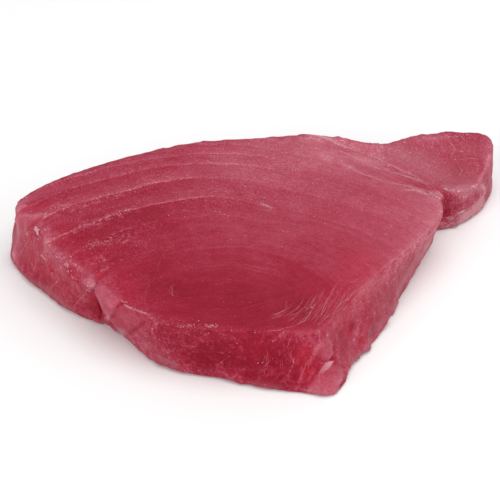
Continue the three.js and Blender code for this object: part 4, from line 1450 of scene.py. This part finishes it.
def flesh_material():
    tree = Tree("tuna_flesh")
    place = tree.place()
    along = tree.attribute("grain", "Vector")
    wall = tree.attribute("wall")
    flap = tree.attribute("flap")
    mottled = tree.attribute("mottled")
    crumbly = tree.attribute("crumbly")
    white = tree.attribute("white")

    pale_rings, haze = ring_tones(tree, place, along)
    grain = grain_tones(tree, along, wall)
    clouds = tree.product(tree.noise(place, size=16.0, detail=3.0, rough=0.55), CLOUD_TONE)
    mottle = tree.noise(place, size=3.2, detail=4.0, rough=0.7)
    mottle = tree.product(mottle, tree.ranged(mottled, 0, 1, to_low=0.14, to_high=0.58))
    fine = tree.ranged(tree.noise(place, size=0.7), -0.2, 0.6, to_low=-0.15, to_high=0.9)
    fine = tree.product(fine, crumbly, FINE_TONE)
    grit = tree.ranged(tree.maths("MAXIMUM", wall, flap), 0, 1, to_low=0.05, to_high=0.2)
    grit = tree.product(tree.noise(place, size=0.8, detail=3.0, rough=0.6), grit)
    web = web_tones(tree, place, mottled)
    lumps = tree.noise(place, size=2.6, detail=3.0, rough=0.65)
    clumps = tree.product(tree.attribute("clumps"), tree.ranged(lumps, -0.1, 0.35, to_low=0.0, to_high=0.6))
    veins = vein_tones(tree, place, flap)
    flecks = fleck_tones(tree, place, crumbly)
    layers = layer_tones(tree, place)
    tone = tree.total(tree.attribute("tone"), pale_rings, grain, clouds, mottle, fine, web, veins, flecks)
    tone = tree.total(tone, clumps, layers, grit)

    vivid = tree.product(tree.attribute("vivid"), tree.ranged(mottle, -0.1, 0.1, to_low=0.5, to_high=1.0))
    colour = tree.mixed(vivid, tree.ramp(tone, FLESH_TONES), VIVID_RED)
    colour = tree.mixed(tree.attribute("dull"), colour, DULL_GREY)
    # White film, which along the front rim also paints the wet rim's highlight
    crust = tree.noise(place, size=0.9, detail=3.0, rough=0.7)
    crust = tree.maths("MULTIPLY_ADD", crust, CRUST_RAGGEDNESS, white)
    crust = tree.product(tree.ranged(crust, 0.6, 1.0), tree.ranged(white, 0.02, 0.2))
    colour = tree.mixed(crust, colour, WHITE_FILM)
    rough = tree.noise(place, size=3.0, detail=3.0)
    rough = tree.maths("MULTIPLY_ADD", rough, ROUGHNESS_CHANGE, FLESH_ROUGHNESS)
    height = tree.total(fine, grain, tree.product(haze, HAZE_HEIGHT), web, flecks)
    height = tree.total(height, tree.product(crust, CRUST_HEIGHT), clumps)
    bump = tree.add("Bump", {"Strength": BUMP_STRENGTH, "Distance": BUMP_METRES, "Height": height})
    tree.shade({
        "Base Color": colour, "Roughness": rough, "Normal": bump.outputs[0], "Specular IOR Level": 0.12,
        "Subsurface Weight": 0.08, "Subsurface Radius": (0.003, 0.001, 0.0008), "Subsurface Scale": 1.0,
    })
    return tree.material


def tissue_material(name):
    """Connective tissue, from nearly flesh-coloured to white as its paleness says."""
    tree = Tree(name)
    place = tree.place()
    clouds = tree.noise(place, size=3.0, detail=3.0)
    share = tree.maths("MULTIPLY_ADD", clouds, TISSUE_CLOUDS, tree.attribute("pale"))
    share = tree.maths("MULTIPLY_ADD", tree.noise(place, size=0.7), TISSUE_GRIT, share)
    tree.shade({
        "Base Color": tree.ramp(share, TISSUE_TONES), "Specular IOR Level": 0.2,
        "Roughness": tree.ranged(share, 0, 1, to_low=0.38, to_high=0.5),
    })
    return tree.material


def floor_material():
    tree = Tree("pale_floor")
    share = tree.ranged(tree.noise(tree.place(), size=60.0, detail=3.0), -1, 1)
    colour = tree.mixed(share, *FLOOR_GREYS)
    tree.shade({"Base Color": colour, "Roughness": 0.9, "Specular IOR Level": 0.0})
    return tree.material


# Floor and light

# Half the floor's side, and each light's name, place and size, in metres, and its power in watts.
FLOOR_HALF = 3.0
LIGHTS = (
    ("key", (0.25, -0.1, 1.5), 1.6, 10.6),
    ("front_fill", (-0.85, -1.2, 0.8), 1.4, 12.0),
    ("right_fill", (1.3, -0.5, 0.7), 1.2, 6.0),
    ("back_sheen", (0.7, 1.2, 0.8), 0.8, 3.0),
)
SKY_STRENGTH = 0.45


def add_floor():
    half = FLOOR_HALF
    corners = [(-half, -half, 0), (half, -half, 0), (half, half, 0), (-half, half, 0)]
    mesh = bpy.data.meshes.new("floor")
    mesh.from_pydata(corners, [], [(0, 1, 2, 3)])
    mesh.materials.append(floor_material())
    floor = bpy.data.objects.new("floor", mesh)
    bpy.context.scene.collection.objects.link(floor)


def add_light():
    world = bpy.data.worlds.new("studio")
    world.use_nodes = True
    background = world.node_tree.nodes["Background"]
    background.inputs["Color"].default_value = (1, 1, 1, 1)
    background.inputs["Strength"].default_value = SKY_STRENGTH
    bpy.context.scene.world = world
    for name, place, size, power in LIGHTS:
        data = bpy.data.lights.new(name, "AREA")
        data.shape = "DISK"
        data.size = size
        data.energy = power
        light = bpy.data.objects.new(name, data)
        light.location = place
        light.rotation_euler = (-Vector(place)).to_track_quat("-Z", "Y").to_euler()
        bpy.context.scene.collection.objects.link(light)
    bpy.context.scene.view_settings.view_transform = "Standard"


add_camera()
add_floor()
add_light()
flesh = flesh_object()
crumb_share = shape_flesh(flesh)
flesh.data.materials.append(flesh_material())
final_tree = surface_tree(flesh.data)
strand_parts = strand_mesh(threads(flesh.data, final_tree))
strands = new_piece("pale_strands", *strand_parts, tissue_material("pale_strand"))
crumb_parts = crumb_mesh(crumb_places(flesh.data, final_tree, crumb_share))
add_flakes(final_tree, *crumb_parts)
crumbs = new_piece("pale_crumbs", *crumb_parts, tissue_material("pale_crumb"))
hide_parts(NODE)
for piece in (flesh, strands, crumbs):
    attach(piece, BODY)
